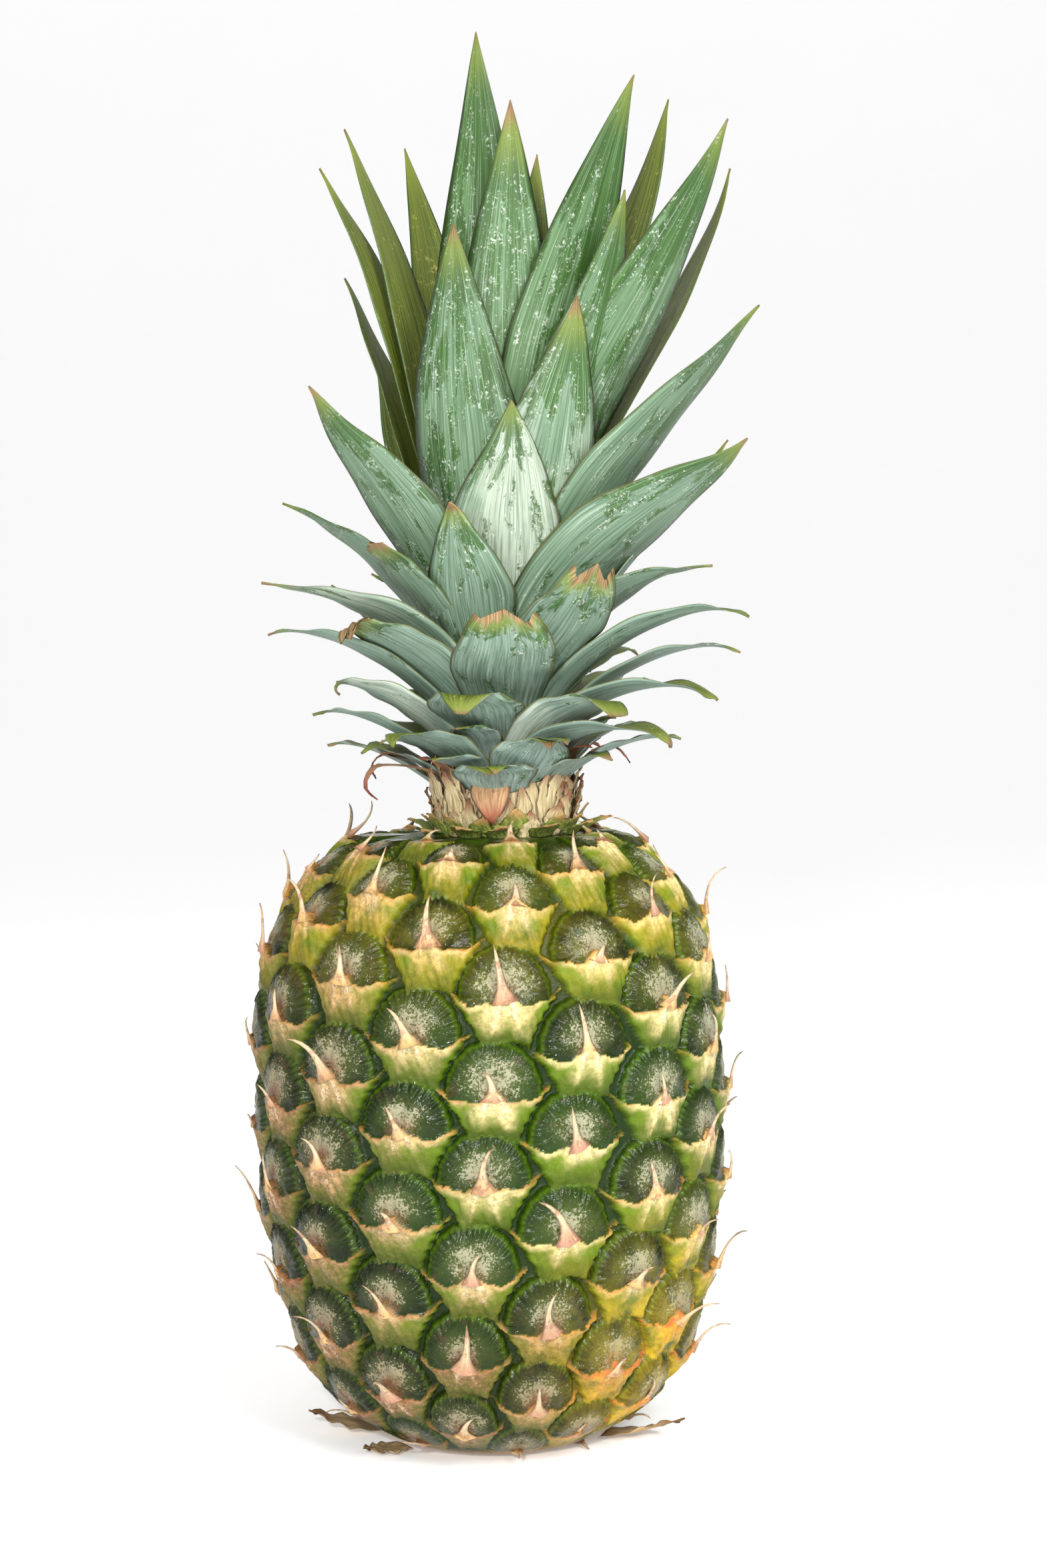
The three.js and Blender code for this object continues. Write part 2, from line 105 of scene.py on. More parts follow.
# Crown leaves from the heart outward and down the stem. Azimuth 0 is the front and 90 is +X.
# (azimuth the blade faces, azimuth of its tip, reach from the crown axis, tip height, blade width,
#  lean of the tip from upright, how blunt the tip is)
LEAVES = [
    (-24, -40, 4, 361, 26, 0, 0),
    (160, 150, 24, 334, 20, 12, 0),
    (36, 76, 38, 348, 28, 20, 0),
    (-150, -150, 48, 340, 18, 28, 0),
    (135, 125, 58, 350, 22, 16, 0),
    (8, 22, 13, 342, 27, 2, 0),
    (-125, -115, 42, 341, 18, 24, 0),
    (44, 84, 61, 337, 28, 24, 0),
    (-118, -105, 46, 330, 20, 30, 0),
    (112, 112, 68, 330, 22, 16, 0),
    (38, 62, 38, 318, 26, 14, 0),
    (-25, -32, 19, 311, 30, 2, 0),
    (178, 178, 46, 328, 22, 16, 0),
    (-168, -172, 58, 306, 23, 26, 0),
    (-112, -112, 42, 302, 20, 26, 0),
    (148, 150, 60, 303, 23, 26, 0),
    (22, 34, 36, 290, 29, 10, 0),
    (54, 84, 68, 290, 29, 40, 0),
    (-145, -148, 62, 285, 23, 30, 0),
    (-44, -80, 48, 272, 24, 32, 0),
    (2, 6, 36, 265, 29, 12, 0),
    (108, 108, 64, 258, 23, 40, 0),
    (170, 172, 64, 266, 23, 36, 0),
    (38, 76, 65, 256, 30, 50, 0),
    (-52, -54, 38, 231, 17, 46, 0.5),
    (-20, -18, 34, 242, 23, 12, 0),
    (-66, -94, 56, 243, 18, 66, 0),
    (-160, -160, 64, 240, 22, 46, 0),
    (95, 98, 55, 246, 22, 50, 0),
    (52, 74, 56, 224, 21, 92, 0),
    (-48, -76, 62, 222, 19, 84, 0),
    (145, 148, 64, 232, 22, 50, 0),
    (26, 34, 42, 222, 26, 34, 0.4),
    (-130, -130, 60, 222, 20, 60, 0),
    (62, 86, 64, 211, 20, 126, 0),
    (-38, -62, 44, 213, 19, 64, 0.4),
    (0, 2, 41, 212, 26, 26, 0.55),
    (-66, -88, 60, 209, 17, 112, 0),
    (176, 176, 62, 212, 21, 70, 0),
    (72, 92, 62, 202, 18, 122, 0),
    (-150, -150, 58, 204, 19, 78, 0),
    (48, 80, 56, 190, 18, 140, 0),
    (-16, -14, 40, 197, 25, 48, 0.1),
    (-52, -80, 46, 196, 16, 110, 0),
    (140, 142, 58, 198, 19, 86, 0),
    (24, 42, 44, 192, 21, 84, 0.3),
    (28, 62, 50, 181, 17, 118, 0),
    (-72, -90, 49, 188, 16, 118, 0),
    (-32, -40, 44, 183, 18, 112, 0),
    (-168, -168, 54, 188, 18, 92, 0),
    (78, 86, 46, 180, 16, 112, 0),
    (14, 20, 35, 183, 21, 72, 0),
    (-92, -96, 46, 180, 15, 110, 0),
    (-6, -6, 31, 176, 22, 80, 0),
]
SMALL_LEAVES = 44  # short leaves close to the stem, between the crown leaves
COLLAR_BRACTS = 13  # in each of the two rings on the top of the fruit
COLLAR_LEVEL = 156.7

# What is special about some crown leaves, by leaf number: curls are in degrees, torn edges in millimetres.
LEAF_HABITS = {
    6: {"dry_tip": 0.3},
    12: {"dry_tip": 0.25},
    17: {"dry_tip": 0.25, "torn": 1.2},
    18: {"twist": -8},
    20: {"dry_tip": 0.25},
    21: {"seed": 0.93},
    25: {"dry_tip": 0.3, "torn": 1.5},
    26: {"dry_tip": 0.4, "curl": 50, "curl_from": 0.86},
    31: {"dry_tip": 0.3},
    33: {"dry_tip": 0.3, "torn": 3.5},
    36: {"dry_tip": 0.6, "torn": 3.0, "curl": 95, "curl_from": 0.86},
    37: {"dry_tip": 0.2, "torn": 2.5},
    38: {"dry_tip": 0.35},
    43: {"curl": 130, "curl_from": 0.72},
    44: {"dry_tip": 0.5, "curl": 130, "curl_from": 0.82},
    46: {"curl": 70, "curl_from": 0.75},
    47: {"dry_tip": 0.45, "curl": 70},
    49: {"curl": 60, "curl_from": 0.75},
    52: {"dry_tip": 0.5, "curl": 70, "curl_from": 0.75},
    53: {"dry_tip": 0.5},
    54: {"curl": 80, "curl_from": 0.7, "dry_tip": 0.3},
}

# Dead leaflets low in the crown: (azimuth, foot level, length, width, lean, curl)
DRY_LEAFLETS = [
    (-9, 172.0, 13, 10, 150, 0),
    (-64, 170.0, 30, 5, 84, 120),
    (-84, 171.0, 24, 12, 74, 110),
    (52, 166.0, 20, 12, 30, 60),
    (84, 168.0, 22, 10, 50, 80),
    (-48, 165.0, 18, 10, 34, 40),
    (130, 168.0, 22, 12, 50, 50),
    (-150, 168.0, 22, 12, 56, 60),
    (170, 168.0, 22, 11, 50, 70),
]

# Rings of neck strips, upper first: (foot level, length, width, lean, number)
NECK_RINGS = (
    (161.5, 14, 5.5, 6, 20),
    (158.0, 16, 5.5, 3, 22),
    (156.6, 15, 6, 2, 22),
    (156.4, 9, 6, 6, 20),
)

# Dry leaves pressed out under the fruit: (azimuth, inner radius, outer radius, width, height of the tip)
BASAL_LEAVES = [
    (-90, 29, 49, 11, 5.5),
    (-55, 29, 41, 10, 2.5),
    (72, 29, 50, 12, 6),
    (160, 29, 48, 11, 4),
]


# ---------------------------------------------------------------- numbers


def mix(a, b, share):
    return a + (b - a) * share


def ease(value):
    x = np.clip(value, 0, 1)
    return x * x * (3 - 2 * x)


def vary(index, kind):
    """A repeatable value from 0 to 1 for natural unevenness."""
    wave = np.sin(np.asarray(index) * 12.9898 + kind * 78.233) * 43758.5453
    return wave - np.floor(wave)


# ---------------------------------------------------------------- meshes


def make_object(name, points, faces, material, facts=None):
    """A mesh object from points in millimetres, with per-point facts that its material reads."""
    mesh = bpy.data.meshes.new(name)
    mesh.from_pydata((np.asarray(points, float) * MM).tolist(), [], faces)
    for key, values in (facts or {}).items():
        layer = mesh.attributes.new(key, "FLOAT_VECTOR", "POINT")
        layer.data.foreach_set("vector", np.asarray(values, np.float32).ravel())
    mesh.polygons.foreach_set("use_smooth", [True] * len(mesh.polygons))
    mesh.materials.append(material)
    mesh.update()
    made = bpy.data.objects.new(name, mesh)
    bpy.context.scene.collection.objects.link(made)
    return made


def finish_piece(piece, slot, *nodes):
    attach(piece, "root")
    if nodes:
        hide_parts(*nodes)


def grid_faces(rows, columns):
    """Quads between rows of points that close on themselves across."""
    faces = []
    for i in range(rows - 1):
        for j in range(columns):
            a = i * columns + j
            b = i * columns + (j + 1) % columns
            faces.append((a, b, b + columns, a + columns))
    return faces


class Gathered:
    """Several small meshes that become one object."""

    def __init__(self):
        self.points = []
        self.faces = []
        self.facts = {}

    def add(self, points, faces, facts):
        start = sum(len(p) for p in self.points)
        self.points.append(np.asarray(points, float))
        self.faces += [tuple(start + k for k in face) for face in faces]
        for key, values in facts.items():
            self.facts.setdefault(key, []).append(np.asarray(values, float))

    def build(self, name, material):
        facts = {key: np.concatenate(values) for key, values in self.facts.items()}
        return make_object(name, np.concatenate(self.points), self.faces, material, facts)


# ---------------------------------------------------------------- shader helpers


class Nodes:
    """Short words for making and joining the nodes of one tree."""

    def __init__(self, tree):
        self.tree = tree

    def new(self, kind, _links=None, **settings):
        node = self.tree.nodes.new(kind)
        for key, value in settings.items():
            setattr(node, key, value)
        for key, value in (_links or {}).items():
            self.feed(node.inputs[key], value)
        return node

    def feed(self, socket, value):
        if isinstance(value, bpy.types.NodeSocket):
            self.tree.links.new(value, socket)
        else:
            socket.default_value = value

    def math(self, operation, *values, clamp=False):
        node = self.tree.nodes.new("ShaderNodeMath")
        node.operation = operation
        node.use_clamp = clamp
        for socket, value in zip(node.inputs, values):
            self.feed(socket, value)
        return node.outputs[0]

    def times(self, a, b, clamp=False):
        return self.math("MULTIPLY", a, b, clamp=clamp)

    def plus(self, a, b, clamp=False):
        return self.math("ADD", a, b, clamp=clamp)

    def minus(self, a, b):
        return self.math("SUBTRACT", a, b)

    def size(self, value):
        return self.math("ABSOLUTE", value)

    def ramp(self, value, low, high, to_low=0.0, to_high=1.0):
        """value between low and high becomes to_low to to_high, smoothly."""
        node = self.new(
            "ShaderNodeMapRange",
            {"Value": value, "From Min": low, "From Max": high, "To Min": to_low, "To Max": to_high},
            interpolation_type="SMOOTHSTEP",
        )
        return node.outputs["Result"]

    def blend(self, factor, a, b, mode="MIX"):
        node = self.tree.nodes.new("ShaderNodeMix")
        node.data_type = "RGBA"
        node.blend_type = mode
        self.feed(node.inputs[0], factor)
        self.feed(node.inputs[6], a)
        self.feed(node.inputs[7], b)
        return node.outputs[2]

    def shades(self, mask, shade, low, high):
        """A colour setting that goes from one strength to another over a mask."""
        return self.blend(mask, tint(shade, low), tint(shade, high))

    def noise(self, vector, scale, detail=4.0, roughness=0.55, distortion=0.0):
        node = self.new(
            "ShaderNodeTexNoise",
            {
                "Vector": vector,
                "Scale": scale,
                "Detail": detail,
                "Roughness": roughness,
                "Distortion": distortion,
            },
        )
        return node.outputs["Fac"]

    def fact(self, name):
        """The three values that each point of the mesh carries under this name."""
        vector = self.new("ShaderNodeAttribute", attribute_name=name).outputs["Vector"]
        return self.parts(vector)

    def parts(self, vector):
        return self.new("ShaderNodeSeparateXYZ", {"Vector": vector}).outputs

    def vector(self, x, y, z):
        return self.new("ShaderNodeCombineXYZ", {"X": x, "Y": y, "Z": z}).outputs[0]

    def here(self):
        return self.new("ShaderNodeTexCoord").outputs["Object"]

    def group(self, name, **values):
        node = self.tree.nodes.new("ShaderNodeGroup")
        node.node_tree = shared_group(name)
        for key, value in values.items():
            self.feed(node.inputs[key], value)
        return node.outputs


def colour(text):
    """A hex colour as linear light."""
    parts = [int(text[i : i + 2], 16) / 255 for i in (1, 3, 5)]
    return tuple(c / 12.92 if c <= 0.04045 else ((c + 0.055) / 1.055) ** 2.4 for c in parts) + (1.0,)


def tint(shade, strength=1.0):
    """A colour setting made darker or lighter."""
    return tuple(min(1.0, c * strength) for c in shade) + (1.0,)


def new_group(name, inputs, outputs):
    """An empty shader node group. inputs are (name, kind, default); outputs are (name, kind)."""
    tree = bpy.data.node_groups.new(name, "ShaderNodeTree")
    for label, kind, default in inputs:
        socket = tree.interface.new_socket(label, in_out="INPUT", socket_type=f"NodeSocket{kind}")
        if default is not None:
            socket.default_value = default
    for label, kind in outputs:
        tree.interface.new_socket(label, in_out="OUTPUT", socket_type=f"NodeSocket{kind}")
    entry = tree.nodes.new("NodeGroupInput").outputs
    leave = tree.nodes.new("NodeGroupOutput").inputs
    return tree, Nodes(tree), entry, leave


def mealy_speckle_group():
    """Fine pale grains that gather where the amount is high."""
    tree, n, entry, leave = new_group(
        "mealy_speckle",
        [("Place", "Vector", None), ("Amount", "Float", 0.5), ("Grain", "Float", 900.0)],
        [("Grains", "Float")],
    )
    fine = n.noise(entry["Place"], entry["Grain"], detail=2.0, roughness=0.7)
    patches = n.noise(entry["Place"], n.times(entry["Grain"], 0.22), detail=3.0)
    level = n.plus(n.times(fine, 0.62), n.times(patches, 0.38))
    edge = n.minus(0.76, n.times(entry["Amount"], 0.36))
    n.feed(leave["Grains"], n.ramp(n.minus(level, edge), -0.03, 0.09))
    return tree


def fibre_group():
    """Fine lines that run the long way of a leaf, spine or stem."""
    tree, n, entry, leave = new_group(
        "long_fibres",
        [("Along", "Float", 0.0), ("Across", "Float", 0.0), ("Seed", "Float", 0.0), ("Lines", "Float", 14.0)],
        [("Fine", "Float"), ("Broad", "Float")],
    )
    across = n.times(entry["Across"], entry["Lines"])
    seed = n.times(entry["Seed"], 37.0)
    fine = n.vector(across, n.times(entry["Along"], 3.0), seed)
    broad = n.vector(n.times(across, 0.25), n.times(entry["Along"], 1.6), seed)
    n.feed(leave["Fine"], n.noise(fine, 1.0, detail=3.0, roughness=0.6))
    n.feed(leave["Broad"], n.noise(broad, 1.0, detail=3.0, roughness=0.6))
    return tree


def blotch_group():
    """Soft-edged patches of dryness or wear."""
    tree, n, entry, leave = new_group(
        "blotches",
        [
            ("Place", "Vector", None),
            ("Size", "Float", 60.0),
            ("Amount", "Float", 0.3),
            ("Softness", "Float", 0.06),
        ],
        [("Patches", "Float")],
    )
    pattern = n.noise(entry["Place"], entry["Size"], detail=5.0, roughness=0.6, distortion=0.6)
    edge = n.minus(0.8, n.times(entry["Amount"], 0.6))
    low = n.minus(edge, entry["Softness"])
    high = n.plus(edge, entry["Softness"])
    n.feed(leave["Patches"], n.ramp(pattern, low, high))
    return tree


def shared_group(name):
    makers = {"mealy_speckle": mealy_speckle_group, "long_fibres": fibre_group, "blotches": blotch_group}
    return bpy.data.node_groups.get(name) or makers[name]()


def new_material(name):
    material = bpy.data.materials.new(name)
    material.use_nodes = True
    tree = material.node_tree
    tree.nodes.clear()
    shader = tree.nodes.new("ShaderNodeBsdfPrincipled")
    output = tree.nodes.new("ShaderNodeOutputMaterial")
    tree.links.new(shader.outputs[0], output.inputs["Surface"])
    return material, Nodes(tree), shader.inputs


def bump(n, height, strength, distance):
    node = n.new("ShaderNodeBump", {"Height": height, "Strength": strength, "Distance": distance})
    return node.outputs["Normal"]


# ---------------------------------------------------------------- materials


def rind_material(settings):
    """Glossy dark domes over mealy yellow-green bracts with dry tan edges, on dark green grooves that painted
    shade darkens further.
    """
    material, n, shader = new_material("pineapple_rind")
    place = n.here()
    across, up, seed = n.fact("eye_place")
    dome, bract, edge = n.fact("eye_parts")
    lip_and_highlight, meal, ripe = n.fact("eye_finish")
    # the middle value is painted shade for the grooves between the eyes
    keel, groove_shade, scar = n.fact("eye_relief")
    dryness, height = n.fact("eye_age")[:2]
    cloud = n.noise(place, 160.0, detail=4.0)
    fine = n.noise(place, 700.0, detail=3.0, roughness=0.7)
    grains = n.group("mealy_speckle", Place=place, Amount=meal, Grain=1700.0)["Grains"]

    dome_colour = n.shades(n.ramp(cloud, 0.3, 0.7), settings.dome_green, 0.3, 1.0)
    dome_colour = n.blend(n.times(n.ramp(seed, 0.5, 0.9), 0.5), dome_colour, colour("#26400a"))
    spots = n.group("blotches", Place=place, Size=190.0, Amount=0.3, Softness=0.03)["Patches"]
    spots = n.times(spots, n.plus(n.ramp(seed, 0.5, 0.8, 0.1, 0.7), dryness), clamp=True)
    dome_colour = n.blend(n.times(spots, 0.5), dome_colour, colour("#4a3428"))
    veil = n.times(n.ramp(meal, 0.2, 1.0), n.ramp(fine, 0.3, 0.6, 0.35, 0.8))
    dome_colour = n.blend(veil, dome_colour, colour("#4c5a28"))
    dome_colour = n.blend(n.times(grains, 0.6), dome_colour, colour("#b9b79a"))
    stain = n.times(n.ramp(n.size(across), 0.36, 0.08), n.ramp(up, 0.5, 0.1))
    stain = n.times(stain, n.plus(n.times(dryness, 1.2), 0.15), clamp=True)
    dome_colour = n.blend(n.times(stain, n.ramp(fine, 0.3, 0.6)), dome_colour, colour("#7d5a42"))

    bract_colour = n.shades(n.ramp(up, -0.9, -0.2), settings.bract_green, 0.3, 1.0)
    bract_colour = n.blend(n.ramp(cloud, 0.38, 0.68), bract_colour, tint(settings.bract_green, 0.55))
    speckle = n.noise(place, 1500.0, detail=2.0, roughness=0.7)
    upper = n.ramp(n.plus(up, n.times(n.minus(cloud, 0.5), 0.7)), -0.85, -0.35)
    mottle = n.times(n.ramp(speckle, 0.5, 0.66, 0.0, 0.16), upper)
    bract_colour = n.blend(mottle, bract_colour, colour("#9a9050"))
    wings = n.ramp(n.size(across), 0.35, 0.8)
    bract_colour = n.blend(n.times(wings, 0.4), bract_colour, colour("#547412"))
    cream = n.shades(n.ramp(fine, 0.3, 0.7), settings.bract_cream, 0.8, 1.1)
    pink = n.blend(n.ramp(fine, 0.3, 0.7), colour("#6c4a30"), colour("#b48e68"))
    dried = n.times(dryness, n.ramp(seed, 0.0, 0.7, 0.6, 1.0))
    dried = n.plus(dried, n.ramp(height, 0.75, 0.5, 0.0, 0.14), clamp=True)
    cream = n.blend(dried, cream, pink)
    pale = n.ramp(n.plus(keel, n.times(n.minus(cloud, 0.5), 0.8)), 0.12, 0.75)
    bract_colour = n.blend(n.times(pale, n.ramp(fine, 0.25, 0.6, 0.55, 0.95)), bract_colour, cream)
    spread = n.times(n.ramp(speckle, 0.42, 0.62, 0.35, 1.0), n.ramp(dried, 0.3, 1.0, 0.0, 0.7))
    spread = n.times(spread, n.ramp(upper, 0.0, 1.0, 0.3, 1.0))
    bract_colour = n.blend(spread, bract_colour, pink)
    bract_colour = n.blend(n.times(n.times(grains, 0.5), pale), bract_colour, colour("#efe6c8"))
    dry = n.times(edge, n.ramp(fine, 0.25, 0.6, 0.5, 1.0), clamp=True)
    dry_colour = n.blend(n.ramp(cloud, 0.4, 0.62), colour("#8a5426"), colour("#c98f4e"))
    dry_colour = n.blend(n.times(dryness, 0.7), dry_colour, colour("#8a5238"))
    bract_colour = n.blend(dry, bract_colour, dry_colour)

    skin = n.blend(bract, colour("#2b500a"), bract_colour)
    skin = n.blend(dome, skin, dome_colour)
    # partly the rims' own yellow-green and partly painted highlight: the raised lip along each bract's top
    # and round each dome is lightened
    skin = n.blend(n.times(lip_and_highlight, 0.7), skin, colour("#56780f"))
    yellow = n.shades(n.ramp(fine, 0.35, 0.7), settings.ripe_yellow, 0.8, 1.15)
    turning = n.times(ripe, n.ramp(cloud, 0.25, 0.62), clamp=True)
    turning = n.times(turning, n.minus(1.0, n.times(dome, 0.7)))
    skin = n.blend(turning, skin, yellow)
    blush = n.times(n.plus(edge, n.times(keel, 0.7)), n.ramp(cloud, 0.3, 0.55))
    skin = n.blend(n.times(blush, n.times(ripe, 0.8), clamp=True), skin, colour("#cc6a3e"))
    # painted shade: the grooves and low ground between the eyes are blended towards near-black green, less
    # where the rind is ripe
    dark = n.times(groove_shade, n.minus(0.85, n.times(ripe, 0.5)))
    skin = n.blend(dark, skin, colour("#122405"))
    wood = n.blend(n.ramp(fine, 0.3, 0.7), colour("#8c6a3c"), colour("#c9ab74"))
    skin = n.blend(scar, skin, wood)
    shade = n.blend(n.times(dryness, 0.45), (1, 1, 1, 1), colour("#c9987a"))
    skin = n.blend(1.0, skin, shade, mode="MULTIPLY")
    n.feed(shader["Base Color"], skin)

    dull = n.times(grains, 0.25)
    rough = n.plus(n.times(dome, -0.26), n.plus(0.42, dull))
    rough = n.plus(rough, n.times(edge, 0.2), clamp=True)
    n.feed(shader["Roughness"], rough)
    shader["Specular IOR Level"].default_value = 0.22
    relief = n.plus(n.times(fine, 0.5), n.times(grains, 0.35))
    relief = n.plus(relief, n.times(n.noise(place, 260.0, detail=3.0), 0.9))
    n.feed(shader["Normal"], bump(n, relief, 0.6, 0.0007))
    return material


def spine_material(settings):
    """Dry papery spine: cream along the middle, pinkish brown at the foot and edges."""
    material, n, shader = new_material("dry_spine")
    along, across, seed = n.fact("blade_run")
    fibres = n.group("long_fibres", Along=along, Across=across, Seed=seed, Lines=5.0)
    body = n.ramp(fibres["Fine"], 0.3, 0.6)
    body = n.blend(body, tint(settings.spine_cream, 0.6), tint(settings.spine_cream))
    foot = n.blend(n.ramp(seed, 0.2, 0.8), colour("#c39c58"), colour("#a56f58"))
    body = n.blend(n.times(n.ramp(along, 0.5, 0.0), 0.85), body, foot)
    stains = n.ramp(n.noise(n.here(), 420.0, detail=4.0, roughness=0.7), 0.5, 0.62)
    body = n.blend(n.times(stains, 0.7), body, colour("#8f6048"))
    rim = n.times(n.ramp(n.size(across), 0.6, 1.0), 0.45)
    body = n.blend(rim, body, colour("#8d5d43"))
    body = n.blend(n.times(n.ramp(along, 0.8, 1.0), 0.6), body, colour("#9a7050"))
    n.feed(shader["Base Color"], body)
    shader["Roughness"].default_value = 0.62
    n.feed(shader["Normal"], bump(n, fibres["Fine"], 0.6, 0.0004))
    return material


def leaf_material(settings):
    """Stiff green leaf with a rubbed grey waxy bloom outside, olive inside, fine ribs, thin dry margins."""
    material, n, shader = new_material("crown_leaf")
    place = n.here()
    along, across, side = n.fact("blade_run")
    seed, dry_tip, low = n.fact("blade_kind")
    fibres = n.group("long_fibres", Along=along, Across=across, Seed=seed, Lines=34.0)
    fine = fibres["Fine"]
    outside = n.ramp(side, 0.35, 0.65)
    green = n.shades(n.ramp(fibres["Broad"], 0.35, 0.65), settings.leaf_green, 0.8, 1.5)
    inside = n.blend(n.ramp(fine, 0.35, 0.65), colour("#37490f"), colour("#6f7a2a"))
    bloom_colour = n.blend(low, tint(settings.upper_bloom), tint(settings.lower_bloom))
    spot = n.vector(
        n.times(across, 1.5), n.times(along, 2.6), n.times(seed, 53.0)
    )
    pattern = n.noise(spot, 1.7, detail=8.0, roughness=0.68, distortion=0.5)
    pattern = n.plus(pattern, n.times(n.minus(fine, 0.5), 0.16))
    pattern = n.plus(pattern, n.times(n.ramp(along, 0.55, 1.0), 0.14))
    pattern = n.plus(pattern, n.ramp(low, 0.0, 0.7, 0.05, -0.06))
    rubbed = n.ramp(pattern, 0.54, 0.575)
    streaks = n.ramp(fibres["Broad"], 0.3, 0.6, 0.78, 1.0)
    bloom = n.times(n.minus(1.0, n.times(rubbed, 0.85)), streaks)
    frosted = n.times(n.ramp(seed, 0.82, 0.9), n.ramp(n.noise(spot, 0.9, detail=6.0), 0.35, 0.6))
    bloom_colour = n.blend(n.times(frosted, 0.5), bloom_colour, colour("#cfd6c6"))
    back = n.blend(bloom, green, bloom_colour)
    ribs = n.times(n.ramp(fine, 0.52, 0.40), 0.42)
    back = n.blend(ribs, back, tint(settings.leaf_green, 0.5))
    back = n.blend(n.times(n.ramp(fine, 0.56, 0.72), 0.4), back, colour("#c9d8c8"))
    scurf = n.group("mealy_speckle", Place=place, Amount=0.55, Grain=1500.0)["Grains"]
    rim = n.times(n.ramp(pattern, 0.50, 0.55), n.ramp(pattern, 0.66, 0.58))
    back = n.blend(n.times(n.times(scurf, rim), 0.6), back, colour("#dfe6da"))
    nicks = n.vector(n.times(across, 5.0), n.times(along, 16.0), n.times(seed, 91.0))
    nicks = n.ramp(n.noise(nicks, 1.6, detail=5.0, roughness=0.7, distortion=1.4), 0.69, 0.72)
    back = n.blend(n.times(nicks, 0.8), back, colour("#24401a"))
    grains = n.group("mealy_speckle", Place=place, Amount=0.45, Grain=900.0)["Grains"]
    inside = n.blend(n.times(grains, 0.5), inside, colour("#b9ad5a"))
    skin = n.blend(outside, inside, back)
    margin = n.ramp(n.size(across), 0.93, 0.99)
    skin = n.blend(n.times(margin, 0.85), skin, n.blend(low, colour("#3f4f1c"), colour("#77722e")))
    start = n.minus(1.0, n.times(dry_tip, 0.16))
    wavy = n.plus(along, n.times(n.minus(fibres["Broad"], 0.5), 0.1))
    dry = n.ramp(n.minus(wavy, start), -0.02, 0.03)
    yellowing = n.ramp(n.minus(wavy, start), -0.12, 0.0)
    skin = n.blend(n.times(yellowing, 0.6), skin, colour("#7d8a34"))
    brown = n.blend(n.ramp(fine, 0.35, 0.65), colour("#54402a"), colour("#a98a5e"))
    skin = n.blend(dry, skin, brown)
    patches = n.group("blotches", Place=place, Size=75.0, Amount=0.1, Softness=0.02)["Patches"]
    skin = n.blend(n.times(patches, 0.6), skin, colour("#7f6244"))
    n.feed(shader["Base Color"], skin)
    shader["Specular IOR Level"].default_value = 0.32
    rough = n.plus(0.38, n.times(bloom, 0.2))
    n.feed(shader["Roughness"], n.plus(rough, n.times(dry, 0.2), clamp=True))
    relief = n.plus(n.times(fine, 0.8), n.times(fibres["Broad"], 0.5))
    relief = n.plus(relief, n.times(bloom, 0.25))
    n.feed(shader["Normal"], bump(n, relief, 0.5, 0.0004))
    return material


def dry_leaf_material(name, dark, mid, pale, tip):
    """Papery dry leaf or scale with fibres, a darker margin and an orange-brown tip."""
    material, n, shader = new_material(name)
    place = n.here()
    along, across = n.fact("blade_run")[:2]
    seed, dry_tip = n.fact("blade_kind")[:2]
    fibres = n.group("long_fibres", Along=along, Across=across, Seed=seed, Lines=9.0)
    body = n.blend(n.ramp(fibres["Fine"], 0.32, 0.68), colour(mid), colour(pale))
    body = n.blend(n.times(n.ramp(fibres["Broad"], 0.5, 0.75), 0.5), body, colour(dark))
    body = n.blend(n.ramp(n.plus(along, n.times(dry_tip, 0.3)), 0.62, 1.0), body, colour(tip))
    margin = n.ramp(n.size(across), 0.82, 1.0)
    body = n.blend(n.times(margin, 0.5), body, colour(dark))
    patches = n.group("blotches", Place=place, Size=120.0, Amount=0.3, Softness=0.04)["Patches"]
    body = n.blend(n.times(patches, 0.45), body, colour(dark))
    n.feed(shader["Base Color"], body)
    shader["Roughness"].default_value = 0.78
    relief = n.plus(fibres["Fine"], n.times(n.noise(place, 400.0), 0.6))
    n.feed(shader["Normal"], bump(n, relief, 0.6, 0.0005))
    return material


def stem_material():
    """Fibrous straw-coloured crown stem."""
    material, n, shader = new_material("crown_stem")
    place = n.here()
    x, y, z = n.parts(place)
    lines = n.noise(n.vector(n.times(x, 5.0), n.times(y, 5.0), z), 220.0, detail=4.0)
    body = n.blend(n.ramp(lines, 0.35, 0.65), colour("#a88f5c"), colour("#e0d0a4"))
    green = n.ramp(z, 0.172, 0.21)
    body = n.blend(n.times(green, 0.7), body, colour("#b7c48c"))
    n.feed(shader["Base Color"], body)
    shader["Roughness"].default_value = 0.75
    n.feed(shader["Normal"], bump(n, lines, 0.5, 0.0005))
    return material


# ---------------------------------------------------------------- fruit


def fruit_radius(level):
    top = np.clip((level - WIDEST_LEVEL) / (FRUIT_TOP - WIDEST_LEVEL), 0, 1)
    low = np.clip((WIDEST_LEVEL - level) / WIDEST_LEVEL, 0, 1)
    upper = mix(SHOULDER_RADIUS, GROOVE_RADIUS, np.sqrt(1 - top**SHOULDER_FULLNESS))
    lower = mix(BASE_RADIUS, GROOVE_RADIUS, np.sqrt(1 - low**BASE_FULLNESS))
    return np.where(level >= WIDEST_LEVEL, upper, lower)


def meridian():
    """Arc length from the shoulder down to the base, with the level and radius at each point."""
    level = (1 + np.cos(np.linspace(0, np.pi, 1201))) / 2 * FRUIT_TOP
    radius = fruit_radius(level)
    arc = np.concatenate([[0], np.cumsum(np.hypot(np.diff(level), np.diff(radius)))])
    return arc, level, radius


MERIDIAN = meridian()
MERIDIAN_LENGTH = float(MERIDIAN[0][-1])


def meridian_at(arc):
    return np.interp(arc, MERIDIAN[0], MERIDIAN[1]), np.interp(arc, MERIDIAN[0], MERIDIAN[2])


